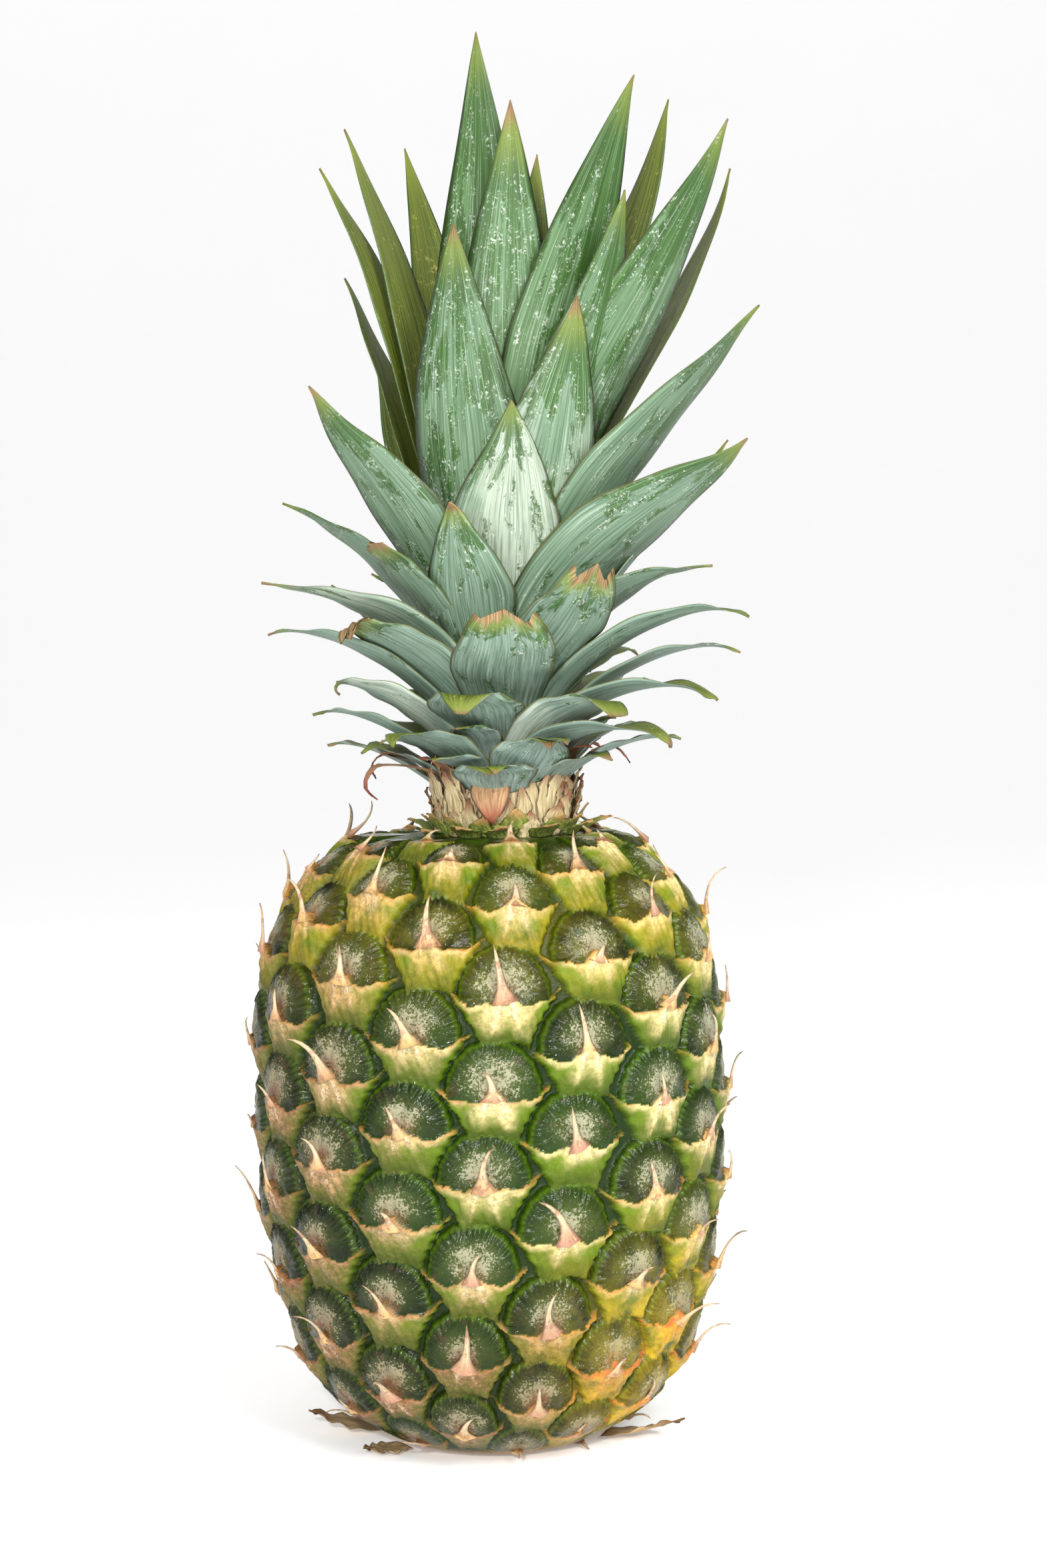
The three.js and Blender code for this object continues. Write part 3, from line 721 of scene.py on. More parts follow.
def skin_frame(arc):
    """Level, radius and the outward normal (radial, up) of the skin at an arc length."""
    level, radius = meridian_at(arc)
    level_above, radius_above = meridian_at(arc - 1.5)
    level_below, radius_below = meridian_at(arc + 1.5)
    slope = np.hypot(radius_below - radius_above, level_below - level_above)
    return level, radius, (level_above - level_below) / slope, (radius_below - radius_above) / slope


def calm(level):
    """How much of the eyes' relief is left near the flat base and under the crown."""
    return ease(level / 22) * ease((FRUIT_TOP + 6 - level) / 12)


def raised(azimuth, arc, rise):
    """Points above the skin, in millimetres."""
    level, radius, outward, upward = skin_frame(arc)
    share = calm(level)
    reach = radius + rise * share * outward
    height = np.clip(level + rise * share * upward, 0.15, FRUIT_TOP)
    turn = np.radians(azimuth)
    return np.stack([reach * np.sin(turn), -reach * np.cos(turn), height], axis=-1)


def eye_numbers():
    first = math.ceil((END_CLEARANCE - FIRST_EYE_ARC) / EYE_DROP)
    last = math.floor((MERIDIAN_LENGTH - END_CLEARANCE - FIRST_EYE_ARC) / EYE_DROP)
    return np.arange(first, last + 1)


def eye_centre(index):
    azimuth = FIRST_EYE_AZIMUTH + EYE_TURN * index + (vary(index, 1) - 0.5) * 1.6
    arc = FIRST_EYE_ARC + EYE_DROP * index + (vary(index, 2) - 0.5) * 1.2
    return azimuth, arc


def bract_edge(u, index):
    """Height of the bract's upper edge over its eye's level, across the eye."""
    wide = np.abs(u) / BRACT_HALF_WIDTH
    ripple = 0.35 * np.sin(u * 0.9 + index * 2.3) + 0.12 * np.sin(u * 2.3 + index)
    peak = 1.9 * np.exp(-((u / 2.3) ** 2))
    sag = 0.9 * np.sin(np.pi * np.clip(wide, 0, 1)) * (0.5 + vary(index, 17))
    return 1.7 * wide**3 - 0.3 + peak - sag + ripple


def eye_relief(u, v, index):
    """Rise and finish of one eye at u to the right and v above its spine's foot, in millimetres."""
    shape = vary(index, 6)
    wide = np.abs(u) / DOME_HALF_WIDTH
    tall = (v - 0.4) / DOME_HEIGHT
    ring = np.sqrt(wide**2 + tall**2)
    around = np.arctan2(v - 0.4, u)
    ring = ring + 0.012 * np.sin(around * 17 + index * 1.9) + 0.008 * np.sin(around * 41 + index)
    ring = np.maximum(ring, 0)
    dome_in = (ring < 1) & (v > bract_edge(u, index) - 0.5)
    dome_rise = mix(3.0, 4.0, shape) * np.sqrt(np.clip(1 - ring**3.4, 0, 1))
    wrinkle = ease((ring - 0.6) / 0.2) * ease((1.0 - ring) / 0.08)
    dome_rise = dome_rise + 0.5 * wrinkle * np.sin(around * 40 + index + 2 * np.sin(around * 7))
    dents = np.sin(u * 0.9 + index) * np.sin(v * 0.8 + index * 1.7)
    dome_rise = dome_rise + 0.25 * dents * ease((0.95 - ring) / 0.2)
    dome_rise = dome_rise - 0.4 * np.exp(-((u / 0.9) ** 2)) * ease(v / 3) * ease((11 - v) / 3)
    dome_rise = np.where(dome_in, dome_rise, -1.0)

    below = bract_edge(u, index) - v
    foot = -BRACT_DEPTH + 1.7 * np.clip(1 - (u / BRACT_FOOT_HALF_WIDTH) ** 2, 0, 1)
    spread = np.clip((np.abs(u) - BRACT_FOOT_HALF_WIDTH) / (BRACT_HALF_WIDTH - BRACT_FOOT_HALF_WIDTH), 0, 1.2)
    side = -BRACT_DEPTH + (BRACT_DEPTH + 1.2) * spread**0.7
    sloping = np.abs(u) > BRACT_FOOT_HALF_WIDTH
    ripple = 0.3 * np.sin(v * 2.1 + u * 0.7 + index * 1.3) + 0.12 * np.sin(v * 5.3 - u * 2.1 + index)
    above = np.where(sloping, (v - side) / 1.6, v - foot) + ripple
    bract_in = (below > -0.5) & (above > 0) & (np.abs(u) < BRACT_HALF_WIDTH + 0.6)
    share = above / np.maximum(above + below, 1e-3)
    crest = 5.0 - 2.1 * (np.abs(u) / BRACT_HALF_WIDTH) ** 0.9
    bract_rise = 1.5 + (crest - 1.5) * np.clip(share, 0, 1) ** 0.8
    ridge_at = 0.9 + 4.2 * np.clip(below / BRACT_DEPTH, 0, 1)
    ridge = np.exp(-(((np.abs(u) - ridge_at) / 0.8) ** 2))
    bract_rise = bract_rise + mix(0.15, 0.55, vary(index, 19)) * ridge * ease(above / 2)
    bract_rise = bract_rise + 0.18 * np.sin(u * 2.7 + v * 1.1 + index) * ease(above / 2) * ease(below / 2)
    bract_rise = bract_rise * ease((above + 0.25) / 0.9) * ease((below + 0.7) / 1.3)
    bract_rise = np.where(bract_in, bract_rise, -1.0)

    is_bract = bract_rise > dome_rise
    rise = np.maximum(bract_rise, dome_rise)
    edge = np.exp(-((below / (0.4 + 0.7 * vary(index, 7))) ** 2)) * is_bract
    edge = np.maximum(edge, is_bract * ease((np.abs(u) - 10.0) / 4.5) * ease((3.5 - below) / 3))
    # raised rims that the rind material lightens, partly their own colour and partly painted highlight
    lip_and_highlight = is_bract * np.exp(-(((above - 0.35) / 0.5) ** 2))
    lip_and_highlight = np.maximum(lip_and_highlight, (1 - is_bract) * 0.7 * np.exp(-(((ring - 0.93) / 0.04) ** 2)))
    size = mix(0.75, 1.25, vary(index, 16))
    glow = np.exp(-((u / (5.4 * size)) ** 2) - (below / (6.6 * size)) ** 2)
    band = 0.75 * np.exp(-((below / 2.2) ** 2)) * ease((14.5 - np.abs(u)) / 7)
    streak = 0.4 * vary(index, 18) ** 2 * ridge * ease(above / 3) * ease((10 - below) / 6)
    keel = is_bract * np.clip(np.maximum(glow, band) + streak, 0, 1)
    meal_dome = 1.0 * np.exp(-((u / (8.8 * size)) ** 2) - (((v - 4.0) / (6.4 * size)) ** 2))
    meal_bract = 0.25 + 0.6 * keel + 0.1 * ridge
    meal = np.where(is_bract, meal_bract * ease((below - 0.2) / 1.2), meal_dome)
    return rise, is_bract, edge, lip_and_highlight, keel, meal


def ripeness(azimuth, level):
    """Where the rind is turning yellow: low on the right, and a little under the shoulder."""
    turn = (np.asarray(azimuth) + 180) % 360 - 180
    low_right = np.exp(-(((turn - 52) / 30) ** 2) - (((level - 24) / 30) ** 2))
    low_back = 0.5 * np.exp(-(((turn + 150) / 40) ** 2) - (((level - 30) / 26) ** 2))
    shoulder = 0.3 * np.exp(-(((level - 136) / 15) ** 2))
    return np.clip(1.15 * low_right + low_back + shoulder, 0, 1)


def dryness(azimuth, level):
    """Where the bracts are drier, tan and pinkish: on the left, and a little everywhere else."""
    turn = (np.asarray(azimuth) + 180) % 360 - 180
    left = np.exp(-(((turn + 70) / 48) ** 2))
    patches = 0.35 + 0.35 * np.sin(np.radians(turn) * 2 + 1.1) * np.sin(level * 0.05 + 0.6)
    bottom = ease((60 - level) / 40)
    return np.clip(0.75 * left + patches * 0.5 + 0.45 * bottom, 0, 1)


def rind_fields(azimuth, arc):
    """The highest of all eyes at every point, and which finish shows there."""
    shape = azimuth.shape
    names = ["rise", "bract", "edge", "lip_and_highlight", "keel", "meal", "across", "up", "eye"]
    best = {name: np.zeros(shape) for name in names}
    first, last = eye_numbers()[[0, -1]]
    nearest = np.round((arc - FIRST_EYE_ARC) / EYE_DROP).astype(int)
    for step in range(-EYE_NEIGHBOURS, EYE_NEIGHBOURS + 1):
        index = nearest + step
        eye_azimuth, eye_arc = eye_centre(index)
        turn = (azimuth - eye_azimuth + 180) % 360 - 180
        u = np.radians(turn) * EYE_SCALE_RADIUS
        v = eye_arc - arc
        near = (np.abs(u) < EYE_REACH[0]) & (np.abs(v) < EYE_REACH[1]) & (index >= first) & (index <= last)
        if not near.any():
            continue
        rise, bract, edge, lip_and_highlight, keel, meal = eye_relief(u[near], v[near], index[near])
        found = {
            "rise": rise,
            "bract": bract,
            "edge": edge,
            "lip_and_highlight": lip_and_highlight,
            "keel": keel,
            "meal": meal,
            "across": u[near] / BRACT_HALF_WIDTH,
            "up": v[near] / DOME_HEIGHT,
            "eye": index[near],
        }
        better = rise > best["rise"][near]
        for name, values in found.items():
            layer = best[name]
            layer[near] = np.where(better, values, layer[near])
    return best


def build_rind(settings):
    arcs = np.linspace(0, MERIDIAN_LENGTH, RIND_ROWS)
    turns = np.arange(RIND_COLUMNS) * 360 / RIND_COLUMNS
    arc, azimuth = np.meshgrid(arcs, turns, indexing="ij")
    arc = arc.ravel()
    azimuth = azimuth.ravel()
    field = rind_fields(azimuth, arc)
    uneven = 0.5 * np.sin(np.radians(azimuth) * 3 + arc * 0.05) * np.sin(arc * 0.07)
    points = raised(azimuth, arc, field["rise"] + uneven)
    level = meridian_at(arc)[0]
    points[:RIND_COLUMNS, 2] = FRUIT_TOP
    points[-RIND_COLUMNS:, 2] = 0.0
    faces = [tuple(reversed(face)) for face in grid_faces(RIND_ROWS, RIND_COLUMNS)]
    count = len(points)
    points = np.vstack([points, [[0, 0, FRUIT_TOP], [0, 0, 0.0]]])
    for j in range(RIND_COLUMNS):
        after = (j + 1) % RIND_COLUMNS
        faces.append((j, after, count))
        low = count - RIND_COLUMNS
        faces.append((low + after, low + j, count + 1))
    covered = field["rise"] > 0.05
    dome = covered & (field["bract"] < 0.5)
    bract = covered & (field["bract"] >= 0.5)
    seed = vary(field["eye"], 8)
    ripe = ripeness(azimuth, level)
    # painted shade in the grooves: the lower a point lies under the eyes' tops, the more the rind material
    # darkens it
    groove_shade = np.clip(1 - field["rise"] / 2.2, 0, 1) ** 1.2 * ease((FRUIT_TOP - level) / 1.5)
    scar = ease((4 - level) / 3)
    ends = np.zeros((2, 3))
    facts = {
        "eye_place": np.stack([field["across"], field["up"], seed], axis=-1),
        "eye_parts": np.stack([dome * 1.0, bract * 1.0, field["edge"]], axis=-1),
        "eye_finish": np.stack([field["lip_and_highlight"], field["meal"], ripe], axis=-1),
        "eye_relief": np.stack([field["keel"], groove_shade, scar], axis=-1),
        "eye_age": np.stack([dryness(azimuth, level), level / FRUIT_TOP, scar], axis=-1),
    }
    facts = {name: np.vstack([values, ends]) for name, values in facts.items()}
    facts["eye_relief"][-1, 2] = 1.0
    return make_object("fruit_rind", points, faces, rind_material(settings), facts)


def strip_points(line, sides, outs, widths, thickness):
    """A thin strip round a line: points for each station, closed across."""
    points = []
    for centre, side, out, width in zip(line, sides, outs, widths):
        half = width / 2
        for across, off in SPINE_CORNERS:
            points.append(centre + side * half * across + out * off * thickness * (0.3 + width / 3))
    return np.array(points)


def build_spines(settings):
    """One dry spine at the upper edge of each bract, some bent, twisted or broken off."""
    gathered = Gathered()
    for index in eye_numbers():
        azimuth, arc = eye_centre(index)
        level, _, outward, upward = (float(value) for value in skin_frame(arc))
        turn = math.radians(azimuth)
        out = np.array([outward * math.sin(turn), -outward * math.cos(turn), upward])
        side = np.array([math.cos(turn), math.sin(turn), 0.0])
        climb = np.cross(out, side) * -1
        if climb[2] < 0:
            climb = -climb
        share = float(calm(level))
        length = mix(7.0, 15.0, float(vary(index, 9))) * mix(0.5, 1, share) * settings.spine_length
        if vary(index, 10) < 0.14:
            length *= 0.5
        width = mix(1.7, 2.9, float(vary(index, 11))) * mix(0.6, 1, share) * settings.spine_width
        lift = math.radians(mix(6, 27, float(vary(index, 12))))
        lean = math.radians(mix(-22, 22, float(vary(index, 3))))
        curl = mix(-0.7, 1.1, float(vary(index, 13)))
        sway = mix(-1.1, 1.1, float(vary(index, 14)))
        start = raised(azimuth, arc + 1.2, 4.3)
        line = [np.array(start, float)]
        sides = []
        outs = []
        widths = []
        step = length / (SPINE_STATIONS - 1)
        for k in range(SPINE_STATIONS):
            t = k / (SPINE_STATIONS - 1)
            pitch = lift + curl * t * t
            yaw = lean + sway * t * t
            forward = climb * math.cos(pitch) * math.cos(yaw) + side * math.sin(yaw) * math.cos(pitch)
            forward = forward + out * math.sin(pitch)
            across = side * math.cos(yaw) - climb * math.sin(yaw)
            if k:
                line.append(line[-1] + forward * step)
            sides.append(across)
            outs.append(np.cross(across, forward))
            flare = math.exp(-((t / 0.2) ** 2))
            widths.append(width * (1 + 1.5 * flare) * (1 - t) ** 0.75 + 0.12)
        line = np.array(line)
        line[:, 2] = np.maximum(line[:, 2], 0.6)
        points = strip_points(line, sides, outs, widths, 0.55)
        corners = len(SPINE_CORNERS)
        faces = grid_faces(SPINE_STATIONS, corners)
        faces.append(tuple(range(corners)))
        last = (SPINE_STATIONS - 1) * corners
        faces.append(tuple(last + k for k in reversed(range(corners))))
        along = np.repeat(np.linspace(0, 1, SPINE_STATIONS), corners)
        across = np.tile([corner[0] for corner in SPINE_CORNERS], SPINE_STATIONS)
        seed = np.full(len(along), float(vary(index, 15)))
        gathered.add(points, faces, {"blade_run": np.stack([along, across, seed], axis=-1)})
    return gathered.build("eye_spines", spine_material(settings))


# ---------------------------------------------------------------- blades


def stem_radius(level):
    share = np.clip((level - STEM_FOOT) / (STEM_TIP_LEVEL - STEM_FOOT), 0, 1)
    return mix(STEM_FOOT_RADIUS, STEM_TIP_RADIUS, share)


def radial(azimuth):
    turn = math.radians(azimuth)
    return np.array([math.sin(turn), -math.cos(turn), 0.0])


def leaning(azimuth, lean):
    return radial(azimuth) * math.sin(lean) + np.array([0.0, 0.0, math.cos(lean)])


def unit(rows):
    return rows / np.linalg.norm(rows, axis=1)[:, None]


def blade_line(leaf, count):
    """The middle line of a blade, and its lengthwise, sideways and outward directions at each station."""
    t = np.linspace(0, 1, count)
    foot = radial(leaf["facing"]) * leaf["root"] + np.array([leaf["x"], 0.0, leaf["root_level"]])
    tip = radial(leaf["tip_azimuth"]) * leaf["reach"] + np.array([leaf["x"], 0.0, leaf["tip_level"]])
    span = np.linalg.norm(tip - foot)
    pull = DROOP_PULL if leaf["tip_lean"] > DROOPING else TIP_PULL
    b = foot + ROOT_PULL * span * leaning(leaf["facing"], leaf["root_lean"])
    c = tip - pull * span * leaning(leaf["tip_azimuth"], leaf["tip_lean"])
    s = 1 - t
    line = np.outer(s**3, foot) + np.outer(3 * s * s * t, b)
    line = line + np.outer(3 * s * t * t, c) + np.outer(t**3, tip)
    steps = np.diff(line, axis=0)
    lengths = np.linalg.norm(steps, axis=1)
    along = unit(steps)
    turn = math.radians(leaf["facing"])
    across = np.array([math.cos(turn), math.sin(turn), 0.0])
    side = unit(across - (along @ across)[:, None] * along)
    outward = np.cross(side, along)
    start = leaf.get("curl_from", 0.8)
    middle = (t[1:] + t[:-1]) / 2
    curl = math.radians(leaf.get("curl", 0)) * ease((middle - start) / (1 - start))
    along = along * np.cos(curl)[:, None] + outward * np.sin(curl)[:, None]
    line = np.vstack([foot, foot + np.cumsum(along * lengths[:, None], axis=0)])
    side = unit(np.vstack([side[:1], side[1:] + side[:-1], side[-1:]]))
    along = unit(np.vstack([along[:1], along[1:] + along[:-1], along[-1:]]))
    return t, line, along, side, np.cross(side, along)


def blade_width(t, leaf):
    rising = mix(leaf.get("foot_width", 0.74), 1, ease(t / WIDEST_AT))
    fall = np.clip((t - WIDEST_AT) / (1 - WIDEST_AT), 0, 1)
    blunt = leaf.get("blunt", 0.0)
    falling = 1 - (1 - blunt) * fall ** mix(1.6, 4.0, blunt)
    return np.where(t < WIDEST_AT, rising, falling)


def blade_mesh(leaf, stations=34, columns=10):
    """Points, faces and facts of one channelled blade in millimetres."""
    t, line, along, side, outward = blade_line(leaf, stations)
    seed = leaf["seed"]
    across = np.linspace(-1, 1, columns + 1)
    q = np.concatenate([across, across[-2:0:-1]])
    face = np.concatenate([np.ones(columns + 1), -np.ones(columns - 1)])
    face[0] = face[columns] = 0
    ragged = np.sin(q * 5.3 + seed * 31) * 0.6 + np.sin(q * 13.1 + seed * 17) * 0.4
    outside = (face > 0) | (np.abs(q) == 1)
    points = []
    runs = []
    for i, share in enumerate(t):
        half = leaf["width"] / 2 * float(blade_width(share, leaf)) + 0.12
        cup = half * half / (2 * mix(leaf["root"] + 3, leaf.get("openness", 48), share))
        thick = leaf.get("thickness", 1.2) * mix(1, 0.5, share)
        sway = 0.5 * math.sin(share * 9 + seed * 20) * share
        tilt = math.radians(leaf.get("twist", 0)) * share
        ruffle = leaf.get("ruffle", 0.35) * share * q * np.abs(q) * np.sin(share * 23 + q * 1.7 + seed * 40)
        off = ruffle - cup * q * q + face * thick / 2 * (1 - q * q)
        wide = q * half
        sideways = wide * math.cos(tilt) - off * math.sin(tilt) + sway
        out = wide * math.sin(tilt) + off * math.cos(tilt)
        torn = leaf.get("torn", 0.0) * float(ease((share - 0.8) / 0.2)) * ragged
        points.append(
            line[i] + np.outer(sideways, side[i]) + np.outer(out, outward[i]) + np.outer(torn, along[i])
        )
        runs.append(np.stack([np.full(len(q), share), q, outside * 1.0], axis=-1))
    points = np.concatenate(points)
    width = len(q)
    faces = [tuple(reversed(loop)) for loop in grid_faces(stations, width)]
    faces.append(tuple(range(width)))
    last = (stations - 1) * width
    faces.append(tuple(last + k for k in reversed(range(width))))
    kind = np.tile([seed, leaf.get("dry_tip", 0.2), leaf.get("low", 0.0)], (len(points), 1))
    return points, faces, {"blade_run": np.concatenate(runs), "blade_kind": kind}


def crown_leaf(index):
    facing, tip_azimuth, reach, tip_level, width, tip_lean, blunt = LEAVES[index]
    share = index / (len(LEAVES) - 1)
    root_level = mix(HIGHEST_LEAF_LEVEL, LOWEST_LEAF_LEVEL, share)
    leaf = {
        "x": CROWN_X,
        "facing": facing,
        "tip_azimuth": tip_azimuth,
        "reach": reach,
        "tip_level": tip_level,
        "width": width,
        "blunt": blunt,
        "root_level": root_level,
        "root": float(stem_radius(root_level)) + 1.6,
        "root_lean": math.radians(mix(INNER_LEAF_LEAN, OUTER_LEAF_LEAN, share**1.3)),
        "tip_lean": math.radians(tip_lean),
        "seed": float(vary(index, 21)),
        "dry_tip": mix(0.03, 0.16, float(vary(index, 22))),
        "ruffle": mix(0.2, 0.7, share),
        "low": share,
    }
    leaf.update(LEAF_HABITS.get(index + 1, {}))
    return leaf


def build_crown_leaves(settings):
    material = leaf_material(settings)
    for index, node in enumerate(LEAF_NODES):
        leaf = crown_leaf(index) | {"thickness": settings.leaf_thickness / MM}
        points, faces, facts = blade_mesh(leaf)
        piece = make_object(f"crown_{node}", points, faces, material, facts)
        finish_piece(piece, "green_leaf", node)


def small_leaf(index, azimuth, level, length, width, lean, **habits):
    """A short blade on the stem: a neck scale, a collar bract, a dry leaflet or a small green leaf."""
    slope = math.radians(lean)
    root = habits.get("root", float(stem_radius(level)) - 0.8)
    leaf = {
        "x": CROWN_X,
        "facing": azimuth,
        "tip_azimuth": azimuth,
        "width": width,
        "root_level": level,
        "root": root,
        "reach": root + 0.8 + length * math.sin(slope),
        "tip_level": level + length * math.cos(slope),
        "root_lean": slope * 0.6,
        "tip_lean": slope * 1.4,
        "seed": float(vary(index, 31)),
        "dry_tip": 0.3,
        "thickness": 0.7,
        "openness": 24,
        "curl": mix(-20, 70, float(vary(index, 32))),
        "twist": mix(-14, 14, float(vary(index, 33))),
    }
    leaf.update(habits)
    return leaf


def build_neck_scales():
    """Overlapping straw-coloured papery scales round the neck."""
    gathered = Gathered()
    count = 0
    for ring, (level, length, width, lean, number) in enumerate(NECK_RINGS):
        for k in range(number):
            count += 1
            azimuth = (k + 0.43 * ring) * 360 / number + mix(-7, 7, float(vary(count, 34)))
            leaf = small_leaf(
                count,
                azimuth,
                level + mix(-0.4, 1.4, float(vary(count, 35))),
                length * mix(0.75, 1.2, float(vary(count, 36))),
                width * mix(0.7, 1.25, float(vary(count, 37))),
                lean + mix(-4, 12, float(vary(count, 38)) ** 3),
                dry_tip=0.3 * float(vary(count, 39)) ** 4,
                torn=0.5,
                root=float(stem_radius(level)) - 0.5 + 0.3 * ring,
                foot_width=0.8,
                openness=50,
                thickness=0.8,
                ruffle=0.8,
                curl=mix(-30, 40, float(vary(count, 40))),
                twist=mix(-24, 24, float(vary(count, 41))),
            )
            gathered.add(*blade_mesh(leaf, stations=14, columns=6))
    material = dry_leaf_material("neck_scale", "#5c4030", "#a08a5e", "#d6c79c", "#8f5e40")
    return gathered.build("neck_scales", material)


def build_collar():
    """Small green and cream bracts lying on the top of the fruit round the neck."""
    gathered = Gathered()
    for k in range(2 * COLLAR_BRACTS):
        inner = k >= COLLAR_BRACTS
        leaf = small_leaf(
            k + 200,
            k * 360 / COLLAR_BRACTS + (14 if inner else 0) + mix(-6, 6, float(vary(k, 61))),
            COLLAR_LEVEL,
            mix(5, 8, float(vary(k, 62))),
            mix(7, 10, float(vary(k, 63))),
            mix(52, 74, float(vary(k, 64))) - (36 if inner else 0),
            curl=mix(-10, 20, float(vary(k, 65))),
            root=STEM_FOOT_RADIUS + (0.0 if inner else 3.0),
            openness=40,
            thickness=1.0,
            dry_tip=0.3,
            torn=0.4,
        )
        leaf["tip_level"] = max(leaf["tip_level"], 158.5)
        gathered.add(*blade_mesh(leaf, stations=14, columns=8))
    material = dry_leaf_material("collar_bract", "#2c4a0e", "#4f6c1a", "#a3a44e", "#b98f56")
    return gathered.build("collar_bracts", material)


def build_dry_leaflets():
    """A few dead leaflets that show orange, pink or brown low in the crown."""
    gathered = Gathered()
    for index, (azimuth, level, length, width, lean, curl) in enumerate(DRY_LEAFLETS):
        leaf = small_leaf(
            index, azimuth, level, length, width, lean, curl=curl, curl_from=0.55, torn=1.5, dry_tip=0.3
        )
        gathered.add(*blade_mesh(leaf, stations=16, columns=6))
    material = dry_leaf_material("dry_leaflet", "#5a3a28", "#8d6444", "#b8946c", "#8f4e36")
    return gathered.build("dry_leaflets", material)


def build_small_leaves(settings):
    """Short green leaves between the crown leaves, close to the stem."""
    gathered = Gathered()
    for k in range(SMALL_LEAVES):
        share = k / (SMALL_LEAVES - 1)
        level = mix(167.5, 202.0, share**1.2)
        azimuth = 137.5 * k + mix(-10, 10, float(vary(k, 51)))
        front = abs((azimuth + 180) % 360 - 180) < 100
        if front and level > 176:
            continue
        leaf = small_leaf(
            k + 100,
            azimuth,
            level,
            mix(22, 34, float(vary(k, 52))) * (0.85 if front else 1.1),
            mix(13, 18, float(vary(k, 53))),
            mix(66, 42, share) + mix(-8, 8, float(vary(k, 54))),
            curl=mix(0, 60, float(vary(k, 55))),
            thickness=1.0,
            openness=34,
            low=1.0,
            dry_tip=mix(0.1, 0.6, float(vary(k, 56)) ** 2),
            ruffle=0.5,
        )
        leaf["tip_level"] = max(leaf["tip_level"], 174.0)
        gathered.add(*blade_mesh(leaf, stations=18, columns=8))
    return gathered.build("small_crown_leaves", leaf_material(settings))


def build_stem():
    """The tapered crown stem with a small blunt tip."""
    rows = 30
    columns = 40
    turns = np.arange(columns) * 2 * np.pi / columns
    shoulder = STEM_TIP_LEVEL - STEM_TIP_HEIGHT
    rings = [
        (level, stem_radius(level) + 0.25 * np.sin(turns * 9 + level))
        for level in np.linspace(STEM_FOOT, shoulder, rows)
    ]
    for share in (0.7, 0.35):
        height = shoulder + STEM_TIP_HEIGHT * math.sqrt(1 - share * share)
        rings.append((height, stem_radius(shoulder) * share))
    points = []
    for level, radius in rings:
        x = CROWN_X + radius * np.sin(turns)
        points.append(np.stack([x, -radius * np.cos(turns), np.full(columns, level)], axis=-1))
    faces = grid_faces(len(rings), columns)
    faces.append(tuple(reversed(range(columns))))
    faces.append(tuple((len(rings) - 1) * columns + k for k in range(columns)))
    return make_object("crown_stem_core", np.concatenate(points), faces, stem_material())


def build_basal_leaves():
    """The dry leaves pressed out flat under the fruit."""
    material = dry_leaf_material("dry_base_leaf", "#5c4224", "#9a7a4c", "#cbb083", "#7a5a34")
    for index, node in enumerate(BASAL_NODES):
        azimuth, root, reach, width, tip_level = BASAL_LEAVES[index]
        leaf = {
            "x": 0.0,
            "facing": azimuth,
            "tip_azimuth": azimuth,
            "width": width,
            "root": root,
            "root_level": 0.75,
            "reach": reach,
            "tip_level": tip_level,
            "root_lean": math.radians(89),
            "tip_lean": math.radians(68),
            "seed": float(vary(index, 41)),
            "thickness": 0.7,
            "openness": 30,
            "torn": 1.5,
            "ruffle": 0.8,
            "twist": mix(-30, 30, float(vary(index, 42))),
        }
        points, faces, facts = blade_mesh(leaf, stations=20, columns=8)
        points[:, 2] = np.maximum(points[:, 2], 0.05)
        piece = make_object(f"dry_{node}", points, faces, material, facts)
        finish_piece(piece, "dry_leaf", node)


# ---------------------------------------------------------------- stage

# Lights: (name, place in metres, size, power as a share of the key light's)
LIGHTS = (
    ("key_light", (0.65, -1.05, 0.95), 0.6, 1.0),
    ("fill_light", (-1.0, -0.8, 0.6), 0.5, 0.12),
    ("glint_light", (-0.1, -0.95, 0.45), 0.06, 0.36),
)
LIGHTS_AIM = (0.0, 0.0, 0.17)
BACKDROP_START = 2.5  # metres behind the fruit
BACKDROP_RADIUS = 1.5
CAMERA_TARGET = Vector((10.04, 0.0, 169.07)) * MM
CAMERA_DISTANCE = 0.7
CAMERA_ELEVATION = math.radians(3.13)
CAMERA_ROLL = math.radians(-1.21)


def build_camera(settings):
    data = bpy.data.cameras.new("camera")
    data.lens = settings.lens
    data.sensor_width = 36.0
    data.clip_start = 0.01
    data.clip_end = 20.0
    camera = bpy.data.objects.new("camera", data)
    bpy.context.scene.collection.objects.link(camera)
    back = Vector((0, -math.cos(CAMERA_ELEVATION), math.sin(CAMERA_ELEVATION)))
    right = Vector((1, 0, 0))
    up = Vector((0, math.sin(CAMERA_ELEVATION), math.cos(CAMERA_ELEVATION)))
    turned_right = right * math.cos(CAMERA_ROLL) + up * math.sin(CAMERA_ROLL)
    turned_up = up * math.cos(CAMERA_ROLL) - right * math.sin(CAMERA_ROLL)
    axes = Matrix((turned_right, turned_up, back)).transposed()
    camera.matrix_world = Matrix.Translation(CAMERA_TARGET + back * CAMERA_DISTANCE) @ axes.to_4x4()
    bpy.context.scene.camera = camera


def area_light(name, place, aim, size, power):
    data = bpy.data.lights.new(name, "AREA")
    data.shape = "DISK"
    data.size = size
    data.energy = power
    light = bpy.data.objects.new(name, data)
    bpy.context.scene.collection.objects.link(light)
    light.location = place
    light.rotation_euler = (Vector(place) - Vector(aim)).to_track_quat("Z", "Y").to_euler()


def floor_material():
    material, n, shader = new_material("pale_floor")
    place = n.here()
    tone = n.noise(place, 3.0, detail=2.0)
    n.feed(shader["Base Color"], n.blend(tone, (0.93, 0.93, 0.93, 1), (0.96, 0.96, 0.96, 1)))
    shader["Roughness"].default_value = 0.85
    shader["Emission Color"].default_value = (1, 1, 1, 1)
    shader["Emission Strength"].default_value = 0.2
    return material


